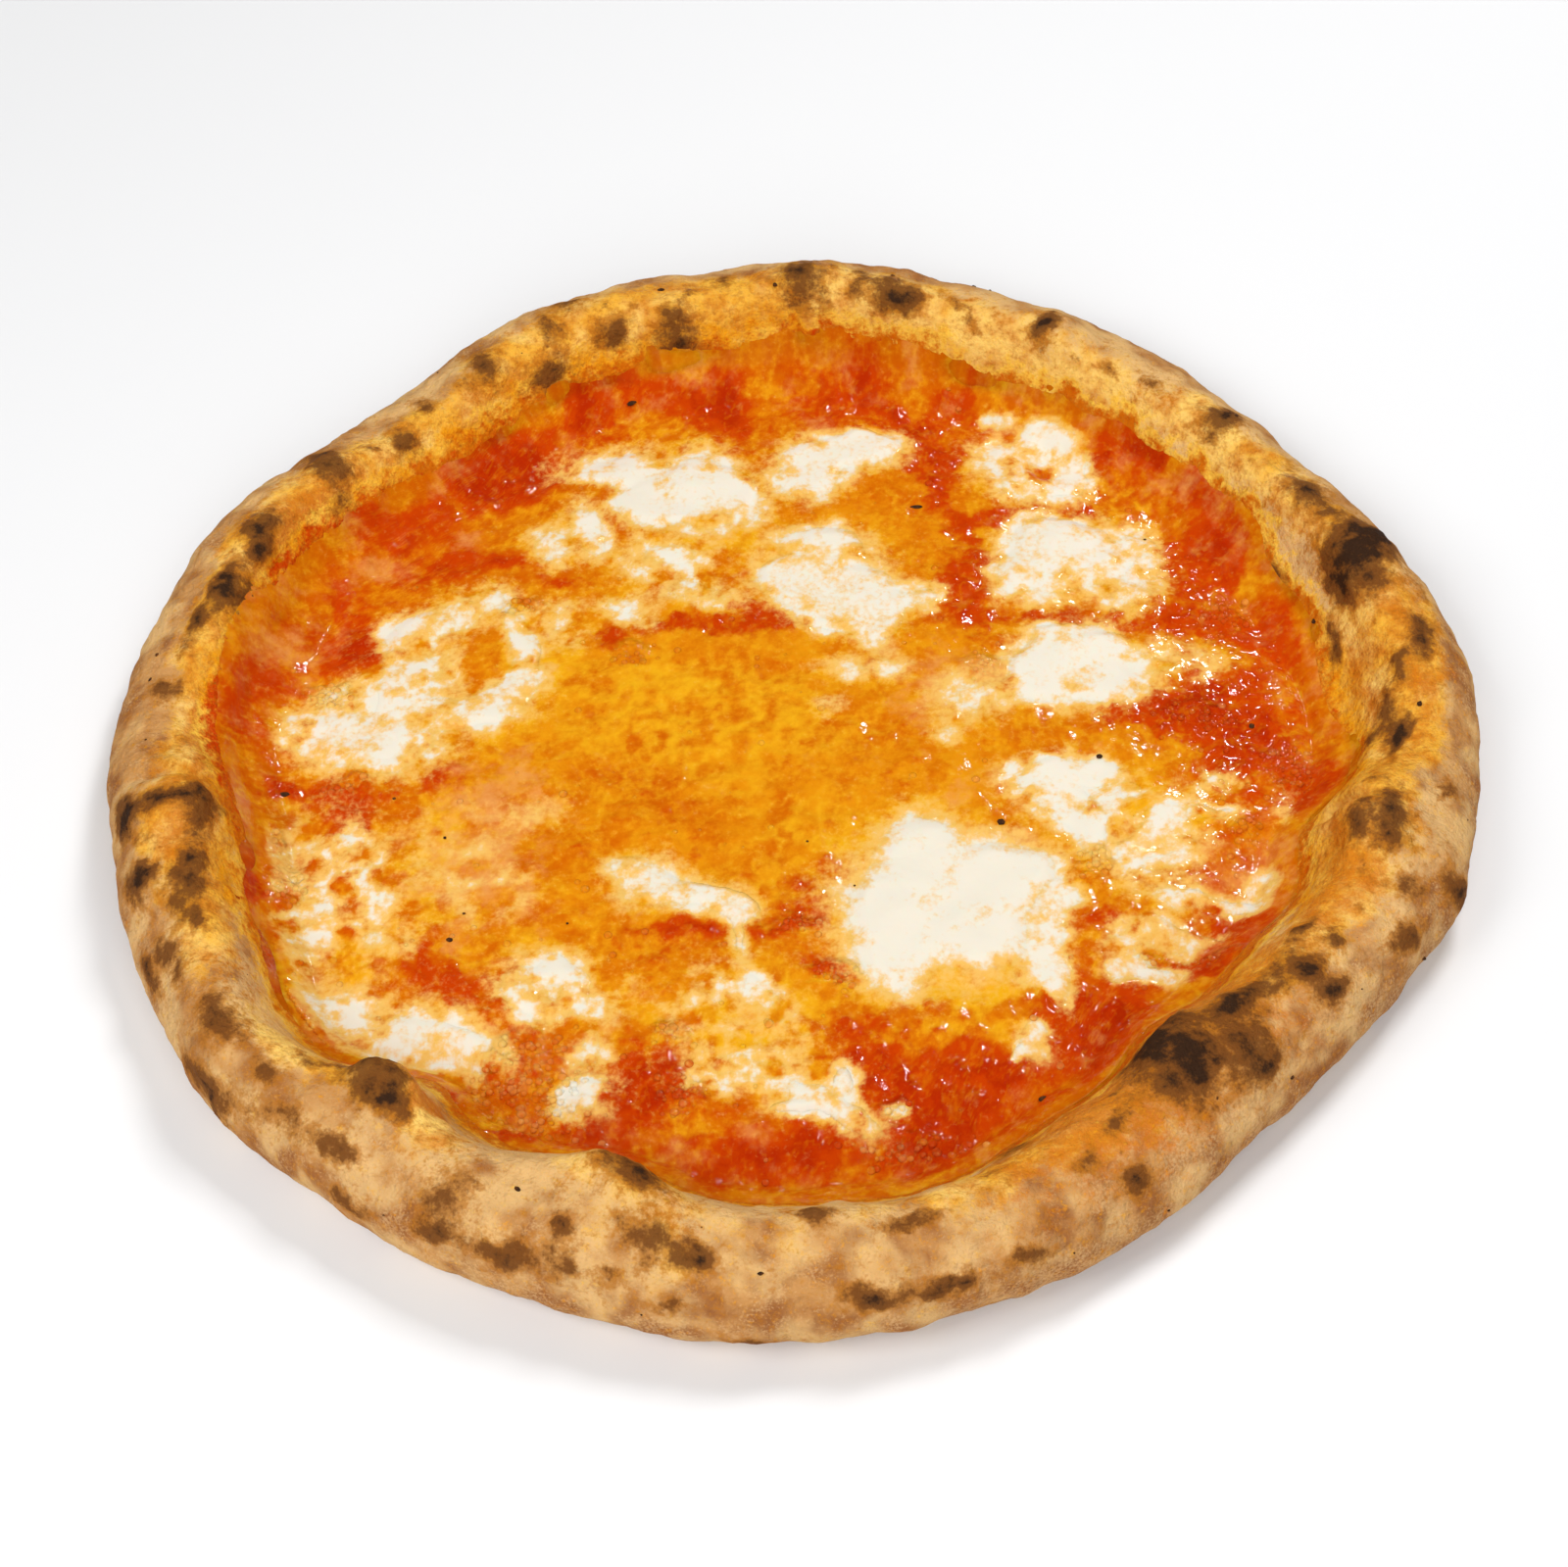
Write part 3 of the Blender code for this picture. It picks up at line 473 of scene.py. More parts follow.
def crust_fields(points, directions, turns):
    """Shares of char, gold, tomato stain and flour on the rim, and of pale dough, amber dough and deeper tan: blots,
    plus painted shade low on the outer side.
    """
    wobble = WARP_X.layered(points, 7 * MM, 4, 0.6)
    sway = WARP_Y.layered(points, 7 * MM, 4, 0.6)
    grain = GRAIN.layered(points, 4 * MM, 3, 0.6)
    mottle = MOTTLE.layered(points, 16 * MM, 4, 0.6)
    blots = MOTTLE.layered(points, 7 * MM, 3, 0.6)
    edge = np.interp(directions, *zip(*STAIN_EDGE))
    beyond = (np.hypot(points[:, 0], points[:, 1]) - sauce_edge(np.radians(directions))) / MM
    reach = np.interp(directions, *zip(*SOAKED_REACH))
    soaked = (1 - smoothstep(beyond + 2.5 * sway + 1.5 * grain, -1.5, reach)) * smoothstep(turns, 100, 125)
    char = 1.35 * ring_strokes(directions + 0.7 * wobble, turns + 7 * sway, CHAR, 1.7)
    gold = ring_strokes(directions + 2 * wobble, turns + 14 * sway, GOLD, 2.0)
    spots = smoothstep(LUMPS.layered(points, 6 * MM, 2, 0.5), 0.2, 0.8) * smoothstep(turns, -10, 50)
    spots *= 0.35 + 0.65 * smoothstep(gold + 0.4 * mottle, 0.2, 0.9)
    paler = ring_strokes(directions, turns, PALE_PLACES, 2.0)
    fields = {
        "char": char * (0.9 + 0.5 * grain) + 0.5 * spots * (1 - smoothstep(turns, 95, 130)) + 0.10 * blots,
        "gold": gold - 0.35 * paler + 0.5 * mottle + 0.8 * smoothstep(turns, 20, 115) - 0.4,
        "stain": np.maximum(soaked, 0.9 * smoothstep(turns + 18 * sway + 12 * grain, edge - 24, edge + 18)),
        "flour": smoothstep(mottle + 0.5 * grain - 0.01 * (turns - 40), -0.5, 0.6),
        # deeper tan: random blots, plus painted shade on the low outer side, where the rim curves under towards the
        # floor
        "blots_and_low_shade": smoothstep(blots + 0.6 * (1 - smoothstep(turns, -10, 50)), -0.45, 0.75),
        "pale": smoothstep(LUMPS.layered(points, 12 * MM, 3, 0.6) + paler, -0.2, 0.6),
        "amber": ring_strokes(directions + 2 * wobble, turns + 14 * sway, AMBER_PLACES, 2.0) + 0.35 * grain,
    }
    return {name: np.clip(values, 0, 1.5) for name, values in fields.items()}


# ---------------------------------------------------------------- materials

class Graph:
    """One node material, built with short calls."""

    def __init__(self, name):
        self.material = bpy.data.materials.new(name)
        self.material.use_nodes = True
        self.tree = self.material.node_tree
        self.tree.nodes.clear()
        self.place = self.add("ShaderNodeTexCoord").outputs["Object"]

    def add(self, kind, inputs=None, **settings):
        made = self.tree.nodes.new(kind)
        for name, value in settings.items():
            setattr(made, name, value)
        for name, value in (inputs or {}).items():
            if isinstance(value, bpy.types.NodeSocket):
                self.tree.links.new(value, made.inputs[name])
            else:
                made.inputs[name].default_value = value
        return made

    def shares(self, name):
        """The four shares of a stored colour attribute."""
        made = self.add("ShaderNodeAttribute", attribute_name=name)
        split = self.add("ShaderNodeSeparateColor", {"Color": made.outputs["Color"]})
        return [*split.outputs, made.outputs["Alpha"]]

    def noise(self, size, detail=1.0, roughness=0.55):
        """A noise texture with bumps of one size: its value is round 0.5, its colour three unlike values."""
        return self.add("ShaderNodeTexNoise", {
            "Vector": self.place, "Scale": 1 / size, "Detail": detail, "Roughness": roughness}).outputs

    def centred(self, noise):
        """Three unlike noises from -0.5 to 0.5."""
        shifted = self.add("ShaderNodeVectorMath", {0: noise["Color"], 1: (0.5, 0.5, 0.5)}, operation="SUBTRACT")
        return self.add("ShaderNodeSeparateXYZ", {"Vector": shifted.outputs[0]}).outputs

    def math(self, operation, first, second=0.0, third=None):
        inputs = {0: first, 1: second}
        if third is not None:
            inputs[2] = third
        return self.add("ShaderNodeMath", inputs, operation=operation).outputs[0]

    def plus(self, value, noise, amount):
        """value + noise * amount"""
        return self.math("MULTIPLY_ADD", noise, amount, value)

    def ramp(self, value, low, high, bottom=0.0, top=1.0):
        made = self.add("ShaderNodeMapRange", {
            "Value": value, "From Min": low, "From Max": high, "To Min": bottom, "To Max": top},
            interpolation_type="SMOOTHSTEP")
        return made.outputs["Result"]

    def mix(self, share, first, second):
        made = self.add("ShaderNodeMix", data_type="RGBA", clamp_factor=True)
        for socket, value in ((made.inputs[0], share), (made.inputs[6], first), (made.inputs[7], second)):
            if isinstance(value, bpy.types.NodeSocket):
                self.tree.links.new(value, socket)
            elif isinstance(value, tuple):
                socket.default_value = (*value, 1.0)
            else:
                socket.default_value = value
        return made.outputs[2]

    def bump(self, height, distance, strength=1.0):
        return self.add("ShaderNodeBump", {"Height": height, "Distance": distance, "Strength": strength}).outputs[0]

    def finish(self, colour, roughness, normal, specular, subsurface, radius):
        shader = self.add("ShaderNodeBsdfPrincipled", {
            "Base Color": colour, "Roughness": roughness, "Specular IOR Level": specular,
            "Subsurface Weight": subsurface, "Subsurface Scale": 1.0, "Subsurface Radius": radius})
        if normal is not None:
            self.tree.links.new(normal, shader.inputs["Normal"])
        output = self.add("ShaderNodeOutputMaterial")
        self.tree.links.new(shader.outputs[0], output.inputs["Surface"])
        return self.material


ORANGE_DARK = (0.59, 0.110, 0.001)
ORANGE_LIGHT = (0.74, 0.27, 0.004)
OIL_YELLOW = (0.81, 0.395, 0.009)
TOMATO_RED = (0.54, 0.048, 0.001)
TOMATO_DEEP = (0.43, 0.022, 0.001)
MILKY_PEACH = (0.77, 0.325, 0.085)
CREAM = (0.82, 0.49, 0.12)
MILK_WHITE = (0.785, 0.725, 0.60)


def topping_material(name, specular, bumpy=True):
    """Sauce and cheese in one finish: the fields say which one shows at a place."""
    graph = Graph(name)
    red, yellow, peach, white = graph.shares("tint")
    light, froth, oil, _ = graph.shares("wet")
    fine_texture = graph.noise(1.4 * MM, 2.0, 0.6)
    fine = graph.centred(fine_texture)

    def masked(value, channel, low, high):
        return graph.ramp(graph.plus(value, fine[channel], 0.7), low, high)

    colour = graph.mix(masked(light, 0, -0.1, 1.1), ORANGE_DARK, ORANGE_LIGHT)
    colour = graph.mix(masked(yellow, 0, 0.0, 1.2), colour, OIL_YELLOW)
    colour = graph.mix(masked(red, 1, 0.15, 0.92), colour, TOMATO_RED)
    colour = graph.mix(masked(red, 2, 0.95, 1.6), colour, TOMATO_DEEP)
    colour = graph.mix(graph.math("MULTIPLY", masked(oil, 0, 0.2, 1.1), 0.36), colour, ORANGE_LIGHT)
    colour = graph.mix(graph.math("MULTIPLY", masked(peach, 2, 0.10, 1.1), 0.8), colour, MILKY_PEACH)
    colour = graph.mix(masked(white, 0, 0.05, 0.60), colour, CREAM)
    colour = graph.mix(masked(white, 2, 0.50, 0.93), colour, MILK_WHITE)

    milk = graph.ramp(white, 0.35, 0.8)
    roughness = graph.ramp(milk, 0.0, 1.0, 0.10, 0.45)
    relief = graph.ramp(milk, 0.0, 1.0, 1.0, 0.3)
    relief = graph.math("MULTIPLY", relief, graph.ramp(froth, 0.1, 0.8, 0.13, 0.9))
    texture = graph.plus(graph.noise(2.2 * MM, 1.0, 0.6)[0], graph.noise(0.9 * MM, 1.0)[0], 0.22)
    normal = graph.bump(graph.math("MULTIPLY", texture, relief), 1.1 * MM) if bumpy else None
    return graph.finish(colour, roughness, normal, specular, 0.25, (1.6 * MM, 0.7 * MM, 0.4 * MM))


TAN = (0.55, 0.27, 0.088)
# deeper tan of blots in the dough, also used as painted shade low on the rim's outer side
TAN_DARK = (0.31, 0.115, 0.036)
FLOURED = (0.68, 0.42, 0.19)
PALE_DOUGH = (0.84, 0.54, 0.22)
GOLDEN = (0.82, 0.41, 0.045)
PALE_GOLD = (0.92, 0.61, 0.17)
AMBER = (0.56, 0.14, 0.004)
OILY = (0.79, 0.32, 0.010)
PALE_OIL = (0.88, 0.50, 0.06)
BROWNED = (0.42, 0.145, 0.012)
TOASTED = (0.15, 0.050, 0.012)
CHARRED = (0.040, 0.018, 0.009)
STAINED = (0.58, 0.135, 0.003)


def crust_material(name):
    """Baked dough: floury tan, golden where oily, leopard spots and black burns, tomato at the foot, painted shade low
    on the outer side.
    """
    graph = Graph(name)
    char, gold, stain, flour = graph.shares("bake")
    blots_and_low_shade, pale, amber, _ = graph.shares("shade")
    spots = graph.centred(graph.noise(1.8 * MM, 2.0, 0.6))
    grain = graph.centred(graph.noise(0.6 * MM, 1.0, 0.6))

    def masked(value, low, high, channel):
        value = graph.plus(value, spots[channel], 0.9)
        return graph.ramp(graph.plus(value, grain[channel], 0.45), low, high)

    # deeper tan: blots, and painted shade low on the rim's outer side
    colour = graph.mix(graph.plus(blots_and_low_shade, spots[0], 0.8), TAN, TAN_DARK)
    colour = graph.mix(graph.math("MULTIPLY", pale, 0.6), colour, PALE_DOUGH)
    dusting = graph.plus(graph.math("MULTIPLY", flour, 0.4), grain[1], 1.6)
    colour = graph.mix(graph.ramp(dusting, 0.1, 0.7, 0.0, 0.6), colour, FLOURED)
    golden = graph.mix(graph.math("MULTIPLY", graph.plus(pale, spots[2], 0.8), 0.7), GOLDEN, PALE_GOLD)
    golden = graph.mix(graph.math("MULTIPLY", graph.plus(blots_and_low_shade, spots[1], 1.4), 0.7), golden, AMBER)
    colour = graph.mix(masked(gold, 0.05, 0.7, 1), colour, golden)
    colour = graph.mix(graph.math("MULTIPLY", masked(amber, 0.1, 0.9, 0), 0.8), colour, AMBER)
    oil = graph.mix(graph.plus(pale, spots[1], 1.2), OILY, PALE_OIL)
    colour = graph.mix(masked(stain, 0.02, 0.5, 0), colour, oil)
    tomato = graph.mix(graph.ramp(graph.plus(amber, spots[0], 3.0), 0.0, 1.1), STAINED, TOMATO_RED)
    colour = graph.mix(masked(stain, 0.35, 0.95, 2), colour, tomato)
    leopard = graph.math("MULTIPLY", graph.ramp(spots[2], 0.05, 0.2), graph.ramp(gold, 0.5, 1.1, 0.0, 0.6))
    leopard = graph.math("MULTIPLY", leopard, graph.ramp(pale, 0.2, 0.7, 1.0, 0.0))
    leopard = graph.math("MULTIPLY", leopard, graph.ramp(stain, 0.2, 0.6, 1.0, 0.0))
    browned = graph.math("MAXIMUM", masked(char, 0.0, 0.42, 1), leopard)
    colour = graph.mix(graph.math("MULTIPLY", browned, 0.72), colour, BROWNED)
    colour = graph.mix(graph.math("MULTIPLY", masked(char, 0.22, 0.75, 2), 0.88), colour, TOASTED)
    colour = graph.mix(masked(char, 0.82, 1.50, 1), colour, CHARRED)

    oily = graph.math("MULTIPLY", graph.ramp(gold, 0.3, 1.0), graph.ramp(char, 0.3, 0.9, 1.0, 0.3))
    roughness = graph.ramp(graph.math("MAXIMUM", oily, stain), 0.0, 1.0, 0.82, 0.36)
    rough = graph.plus(graph.noise(0.6 * MM, 1.0)[0], graph.noise(2.0 * MM, 1.0)[0], 2.5)
    normal = graph.bump(rough, 0.4 * MM, 0.8)
    return graph.finish(colour, roughness, normal, 0.05, 0.12, (2.0 * MM, 1.0 * MM, 0.5 * MM))


def crumb_material(name):
    """Flakes burnt black, brown where they are thin."""
    graph = Graph(name)
    patch = graph.noise(1.2 * MM, 2.0)
    colour = graph.mix(graph.ramp(patch[0], 0.4, 0.75), CHARRED, TOASTED)
    normal = graph.bump(patch[0], 0.3 * MM, 0.7)
    roughness = graph.ramp(patch[0], 0.3, 0.7, 0.5, 0.85)
    return graph.finish(colour, roughness, normal, 0.1, 0.0, (1 * MM, 1 * MM, 1 * MM))


# ---------------------------------------------------------------- meshes

def add_piece(name, points, faces, material, replaced=()):
    """A smooth mesh piece that rides on the pizza."""
    mesh = bpy.data.meshes.new(name)
    mesh.from_pydata(points.tolist(), [], faces)
    mesh.shade_smooth()
    mesh.materials.append(material)
    piece = bpy.data.objects.new(name, mesh)
    bpy.context.scene.collection.objects.link(piece)
    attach(piece, BODY)
    if replaced:
        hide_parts(*replaced)
    return piece


def store_colour(piece, name, channels):
    """Four shares per vertex, kept as one colour attribute."""
    layer = piece.data.attributes.new(name, "FLOAT_COLOR", "POINT")
    layer.data.foreach_set("color", np.stack(channels, axis=1).astype(np.float32).ravel())


def store_toppings(piece, fields):
    store_colour(piece, "tint", [fields[key] for key in ("red", "yellow", "peach", "white")])
    store_colour(piece, "wet", [fields[key] for key in ("light", "froth", "oil", "oil")])


def ring_faces(first, second, count):
    """Quads between two closed rings of vertices, given the index where each ring starts."""
    return [(first + i, first + (i + 1) % count, second + (i + 1) % count, second + i) for i in range(count)]


def rim_section_reach(directions, turns, crest):
    """Distance from the middle of the rim's section to the CAD dough, for each direction and turn."""
    reach = np.zeros((len(turns), len(directions)))
    for column, direction in enumerate(directions.tolist()):
        out_x, out_y = math.cos(direction), math.sin(direction)
        middle = Vector((crest[column] * out_x, crest[column] * out_y, TUBE_HEIGHT))
        for row, turn in enumerate(turns.tolist()):
            level, rise = math.cos(turn), math.sin(turn)
            hit = DOUGH.ray_cast(middle, Vector((level * out_x, level * out_y, rise)))[3]
            reach[row, column] = hit if hit is not None else reach[row - 1, column]
    return reach


def grid_normals(grid):
    """Unit normals of a grid of points whose columns close on themselves."""
    along = np.roll(grid, -1, axis=1) - np.roll(grid, 1, axis=1)
    across = np.gradient(grid, axis=0)
    normals = np.cross(across, along)
    lengths = np.linalg.norm(normals, axis=2, keepdims=True)
    return -normals / np.maximum(lengths, 1e-12)


def blisters(directions, turns):
    """Small random bubbles in the skin of the rim, as a height in mm."""
    draw = np.random.default_rng(BLISTER_SEED)
    total = np.zeros_like(directions)
    for _ in range(150):
        direction, turn = draw.uniform(0, 360), draw.normal(70, 40)
        half = draw.uniform(0.7, 2.0)
        height = draw.uniform(0.15, 0.6) * half / 1.4
        away = (directions - direction + 180) % 360 - 180
        distance = np.hypot(away / half, (turns - turn) / (half * 6.5))
        total += height * smoothstep(distance, 1.2, 0.2)
    return total


def make_crust(material):
    """The dough as a fine skin: the CAD rim without its facets, swollen, blistered and wrinkled."""
    directions = np.arange(AROUND) * 2 * np.pi / AROUND
    turns = np.radians(np.linspace(BASE_TURN, FOOT_TURN, ACROSS))
    crest = crest_radii(directions)
    reach = rim_section_reach(directions, turns, crest)
    reach = blur(blur(reach, SMOOTH_AROUND, 1, True), SMOOTH_ACROSS, 0, False)
    turn_grid, direction_grid = np.meshgrid(turns, directions, indexing="ij")
    radius = crest[None, :] + reach * np.cos(turn_grid)
    height = TUBE_HEIGHT + reach * np.sin(turn_grid)
    grid = np.stack([radius * np.cos(direction_grid), radius * np.sin(direction_grid), height], axis=2)
    normals = grid_normals(grid)

    flat = grid.reshape(-1, 3)
    degrees, turned = np.degrees(direction_grid).ravel(), np.degrees(turn_grid).ravel()
    fields = crust_fields(flat, degrees, turned)
    swelling = ring_strokes(degrees, turned, [(d, t, w, h, 0, 1.5 * mm) for d, t, w, h, mm in SWELLINGS])
    swelling += 0.9 * LUMPS.layered(flat, 19 * MM, 2) + 0.45 * GRAIN.layered(flat, 7 * MM, 3, 0.55)
    swelling += blisters(degrees, turned) + 0.5 * np.clip(fields["char"], 0, 1)
    swelling *= smoothstep(turned, -60, -10) * (1 - 0.85 * smoothstep(turned, 135, 175))
    flat = flat + normals.reshape(-1, 3) * (swelling * MM)[:, None]
    flat[:, 2] = np.maximum(flat[:, 2], 0.0)

    points, faces = [flat], []
    for row in range(ACROSS - 1):
        faces += ring_faces((row + 1) * AROUND, row * AROUND, AROUND)
    lowest, foot = flat[:AROUND], flat[-AROUND:]
    previous, count = 0, len(flat)
    for share in (0.94, 0.85, 0.7, 0.5, 0.3, 0.12):
        points.append(lowest * (share, share, 0.0))
        faces += ring_faces(previous, count, AROUND)
        previous, count = count, count + AROUND
    points.append(np.zeros((1, 3)))
    faces += [(previous + i, count, previous + (i + 1) % AROUND) for i in range(AROUND)]
    count += 1
    previous = (ACROSS - 1) * AROUND
    for share in (0.9, 0.6, 0.25):
        points.append(foot * (share, share, 0.0) + (0, 0, FLOOR - 0.1 * MM))
        faces += ring_faces(count, previous, AROUND)
        previous, count = count, count + AROUND
    points.append(np.array([[0, 0, FLOOR - 0.1 * MM]]))
    faces += [(count, previous + i, previous + (i + 1) % AROUND) for i in range(AROUND)]

    points = np.concatenate(points)
    crust = add_piece("crust", points, faces, material, ["dough"])
    extra = len(points) - len(flat)
    under = MOTTLE.layered(points[len(flat):], 9 * MM, 4, 0.6)
    none = np.zeros(extra)
    fillings = {"char": np.clip(2.2 * under - 0.35, 0, 1), "gold": none + 0.1, "stain": none,
                "flour": none + 0.8, "blots_and_low_shade": smoothstep(-under, -0.3, 0.3), "pale": none + 0.3, "amber": none}
    whole = {key: np.append(fields[key], fillings[key]) for key in fillings}
    store_colour(crust, "bake", [whole[key] for key in ("char", "gold", "stain", "flour")])
    store_colour(crust, "shade", [whole[key] for key in ("blots_and_low_shade", "pale", "amber", "amber")])
    return crust, points, faces


class Bed:
    """The surface on which the toppings lie: the crust plus the sauce, at any place."""

    SHARES = (0.0, 0.70, 0.86, 0.94, 0.98, 1.02, 1.08)
    THICKNESSES = (1.0, 1.0, 0.8, 0.5, 0.25, -0.2, -0.5)
    COLUMNS = 720
    FIRST_RADIUS, LAST_RADIUS, RADIUS_STEP = 86 * MM, 150 * MM, 0.5 * MM

    def __init__(self, points, faces):
        self.tree = BVHTree.FromPolygons(points.tolist(), faces)
        directions = np.arange(self.COLUMNS) * 2 * np.pi / self.COLUMNS
        radii = np.arange(self.FIRST_RADIUS, self.LAST_RADIUS, self.RADIUS_STEP)
        x, y = np.outer(np.cos(directions), radii), np.outer(np.sin(directions), radii)
        self.dough = heights_below(self.tree, x.ravel(), y.ravel(), FLOOR).reshape(x.shape)
        share = radii[None, :] / sauce_edge(directions)[:, None]
        top = self.dough + self.thickness(share)
        rounded = blur(blur(top, 10, 1, False), 4, 0, True)
        self.fillet = (rounded - top) * smoothstep(share, 1.0, 0.86)

    def thickness(self, share):
        """Thickness of the sauce at a share of its radius."""
        return (SAUCE_TOP - FLOOR) * np.interp(share, self.SHARES, self.THICKNESSES)

    def look_up(self, table, x, y):
        """A value of one of the polar tables, straight between its rows and columns."""
        column = (np.arctan2(y, x) / (2 * np.pi)) % 1 * self.COLUMNS
        row = np.clip((np.hypot(x, y) - self.FIRST_RADIUS) / self.RADIUS_STEP, 0, table.shape[1] - 1.001)
        left, low = column.astype(int) % self.COLUMNS, row.astype(int)
        right, across, up = (left + 1) % self.COLUMNS, column - np.floor(column), row - low
        lower = table[left, low] * (1 - across) + table[right, low] * across
        upper = table[left, low + 1] * (1 - across) + table[right, low + 1] * across
        return lower * (1 - up) + upper * up

    def heights(self, x, y, fields):
        flat = flat_points(x, y)
        share = np.hypot(x, y) / sauce_edge(np.arctan2(y, x))
        wander = 0.03 * LUMPS.layered(flat, 22 * MM, 2) * smoothstep(1 - share, 0, 0.1)
        base = self.look_up(self.dough, x, y) + self.thickness(share + wander) + self.look_up(self.fillet, x, y)
        waves = 0.6 * LUMPS.layered(flat, 15 * MM, 2, 0.5)
        pulp = 0.65 * np.clip(GRAIN.layered(flat, PULP_SIZE, 2, 0.6), -0.5, 1.5)
        pulp *= 0.3 + 0.7 * np.clip(fields["red"] + fields["froth"], 0, 1)
        foam = 0.6 * np.clip(MOTTLE.layered(flat, 2.2 * MM, 2), 0, 1) * fields["froth"]
        ridges = 0.22 * WARP_X.layered(flat, 6 * MM, 2)
        calm = 1 - 0.8 * smoothstep(fields["white"], 0.5, 1.0)
        lumps = 0.7 * MOTTLE.layered(flat, 9 * MM, 2) * smoothstep(share, 0.75, 0.9)
        relief = (waves + lumps + (pulp + foam + ridges) * calm) * MM
        return base + relief * smoothstep(share, 1.0, 0.93)


def make_sauce(bed, material):
    """The tomato sauce as one wet sheet with pulp, oil and the milk of the cheese in it."""
    side = SAUCE_GRID + 1
    line = np.linspace(-1, 1, side)
    v, u = (values.ravel() for values in np.meshgrid(line, line, indexing="ij"))
    across, along = u * np.sqrt(1 - v * v / 2), v * np.sqrt(1 - u * u / 2)
    edge = sauce_edge(np.arctan2(along, across)) * 1.02
    x, y = across * edge, along * edge
    fields = topping_fields(x, y)
    top = np.stack([x, y, bed.heights(x, y, fields)], axis=1)
    index = np.arange(side * side).reshape(side, side)
    faces = np.stack([index[:-1, :-1], index[:-1, 1:], index[1:, 1:], index[1:, :-1]], axis=-1).reshape(-1, 4).tolist()
    ring = np.concatenate([index[0, :-1], index[:-1, -1], index[-1, :0:-1], index[:0:-1, 0]])
    points, count, previous = [top], len(top), ring
    for share in (1.0, 0.96, 0.92, 0.88, 0.8, 0.4):
        under = top[ring] * (share, share, 1.0)
        under[:, 2] = heights_below(bed.tree, under[:, 0], under[:, 1], FLOOR) - 0.7 * MM
        points.append(under)
        fresh = np.arange(count, count + len(ring))
        faces += np.stack([np.roll(previous, -1), previous, fresh, np.roll(fresh, -1)], axis=1).tolist()
        previous, count = fresh, count + len(ring)
    faces += [(a, b, count) for a, b in zip(np.roll(previous, -1).tolist(), previous.tolist())]
    points = np.concatenate(points + [[[0, 0, FLOOR - 0.7 * MM]]])
    sauce = add_piece("sauce", points, faces, material, ["sauce"])
    picked = np.concatenate([np.arange(len(top)), np.tile(ring, 6), [0]])
    store_toppings(sauce, {key: values[picked] for key, values in fields.items()})
    return sauce


def make_mozzarella(name, thickness, strokes, bed, material):
    """One melted piece of mozzarella, raised in the middle and sunk into the sauce at its edge."""
    reach_x = max(max(s[2], s[3]) for s in strokes) * 1.3 + 3
    low_x, high_x = min(s[0] for s in strokes) - reach_x, max(s[0] for s in strokes) + reach_x
    low_y, high_y = min(s[1] for s in strokes) - reach_x, max(s[1] for s in strokes) + reach_x
    line_x = np.arange(low_x * MM, high_x * MM, PATCH_STEP)
    line_y = np.arange(low_y * MM, high_y * MM, PATCH_STEP)
    grid_y, grid_x = np.meshgrid(line_y, line_x, indexing="ij")
    x, y = grid_x.ravel(), grid_y.ravel()
    flat = flat_points(x, y)
    bend_x = 1.6 * WARP_X.layered(flat, 9 * MM, 2)
    bend_y = 1.6 * WARP_Y.layered(flat, 9 * MM, 2)
    body = stroke_sum(x / MM + bend_x, y / MM + bend_y, [s for s in strokes if len(s) < 6 or s[5] > 0])
    inside = (body > 0.28) & (np.hypot(x, y) < sauce_edge(np.arctan2(y, x)) * 0.99)
    shape = inside.reshape(grid_x.shape)
    index = np.arange(len(x)).reshape(grid_x.shape)
    kept = shape[:-1, :-1] & shape[:-1, 1:] & shape[1:, 1:] & shape[1:, :-1]
    quads = np.stack([index[:-1, :-1], index[:-1, 1:], index[1:, 1:], index[1:, :-1]], axis=-1)[kept]
    used = np.unique(quads)
    fresh = np.full(len(x), -1)
    fresh[used] = np.arange(len(used))
    x, y, body = x[used], y[used], body[used]
    fields = topping_fields(x, y)
    lift = 0.9 * thickness * smoothstep(body, 0.28, 1.3) - 0.12
    top = bed.heights(x, y, fields)
    points = np.concatenate([np.stack([x, y, top + lift * MM], axis=1), np.stack([x, y, top - 1.1 * MM], axis=1)])
    upper = fresh[quads]
    faces = upper.tolist() + (upper[:, ::-1] + len(used)).tolist()
    sides = np.concatenate([upper[:, [i, (i + 1) % 4]] for i in range(4)])
    present = set(map(tuple, sides.tolist()))
    faces += [(b, a, a + len(used), b + len(used)) for a, b in present if (b, a) not in present]
    piece = add_piece("cheese_" + name, points, faces, material, ["mozzarella_" + name])
    store_toppings(piece, {key: np.tile(values, 2) for key, values in fields.items()})
    return piece


def unit_ball(subdivisions):
    """Points and triangles of a small ball."""
    body = bmesh.new()
    bmesh.ops.create_icosphere(body, subdivisions=subdivisions, radius=1.0)
    points = np.array([vertex.co for vertex in body.verts])
    faces = np.array([[vertex.index for vertex in face.verts] for face in body.faces])
    body.free()
    return points, faces


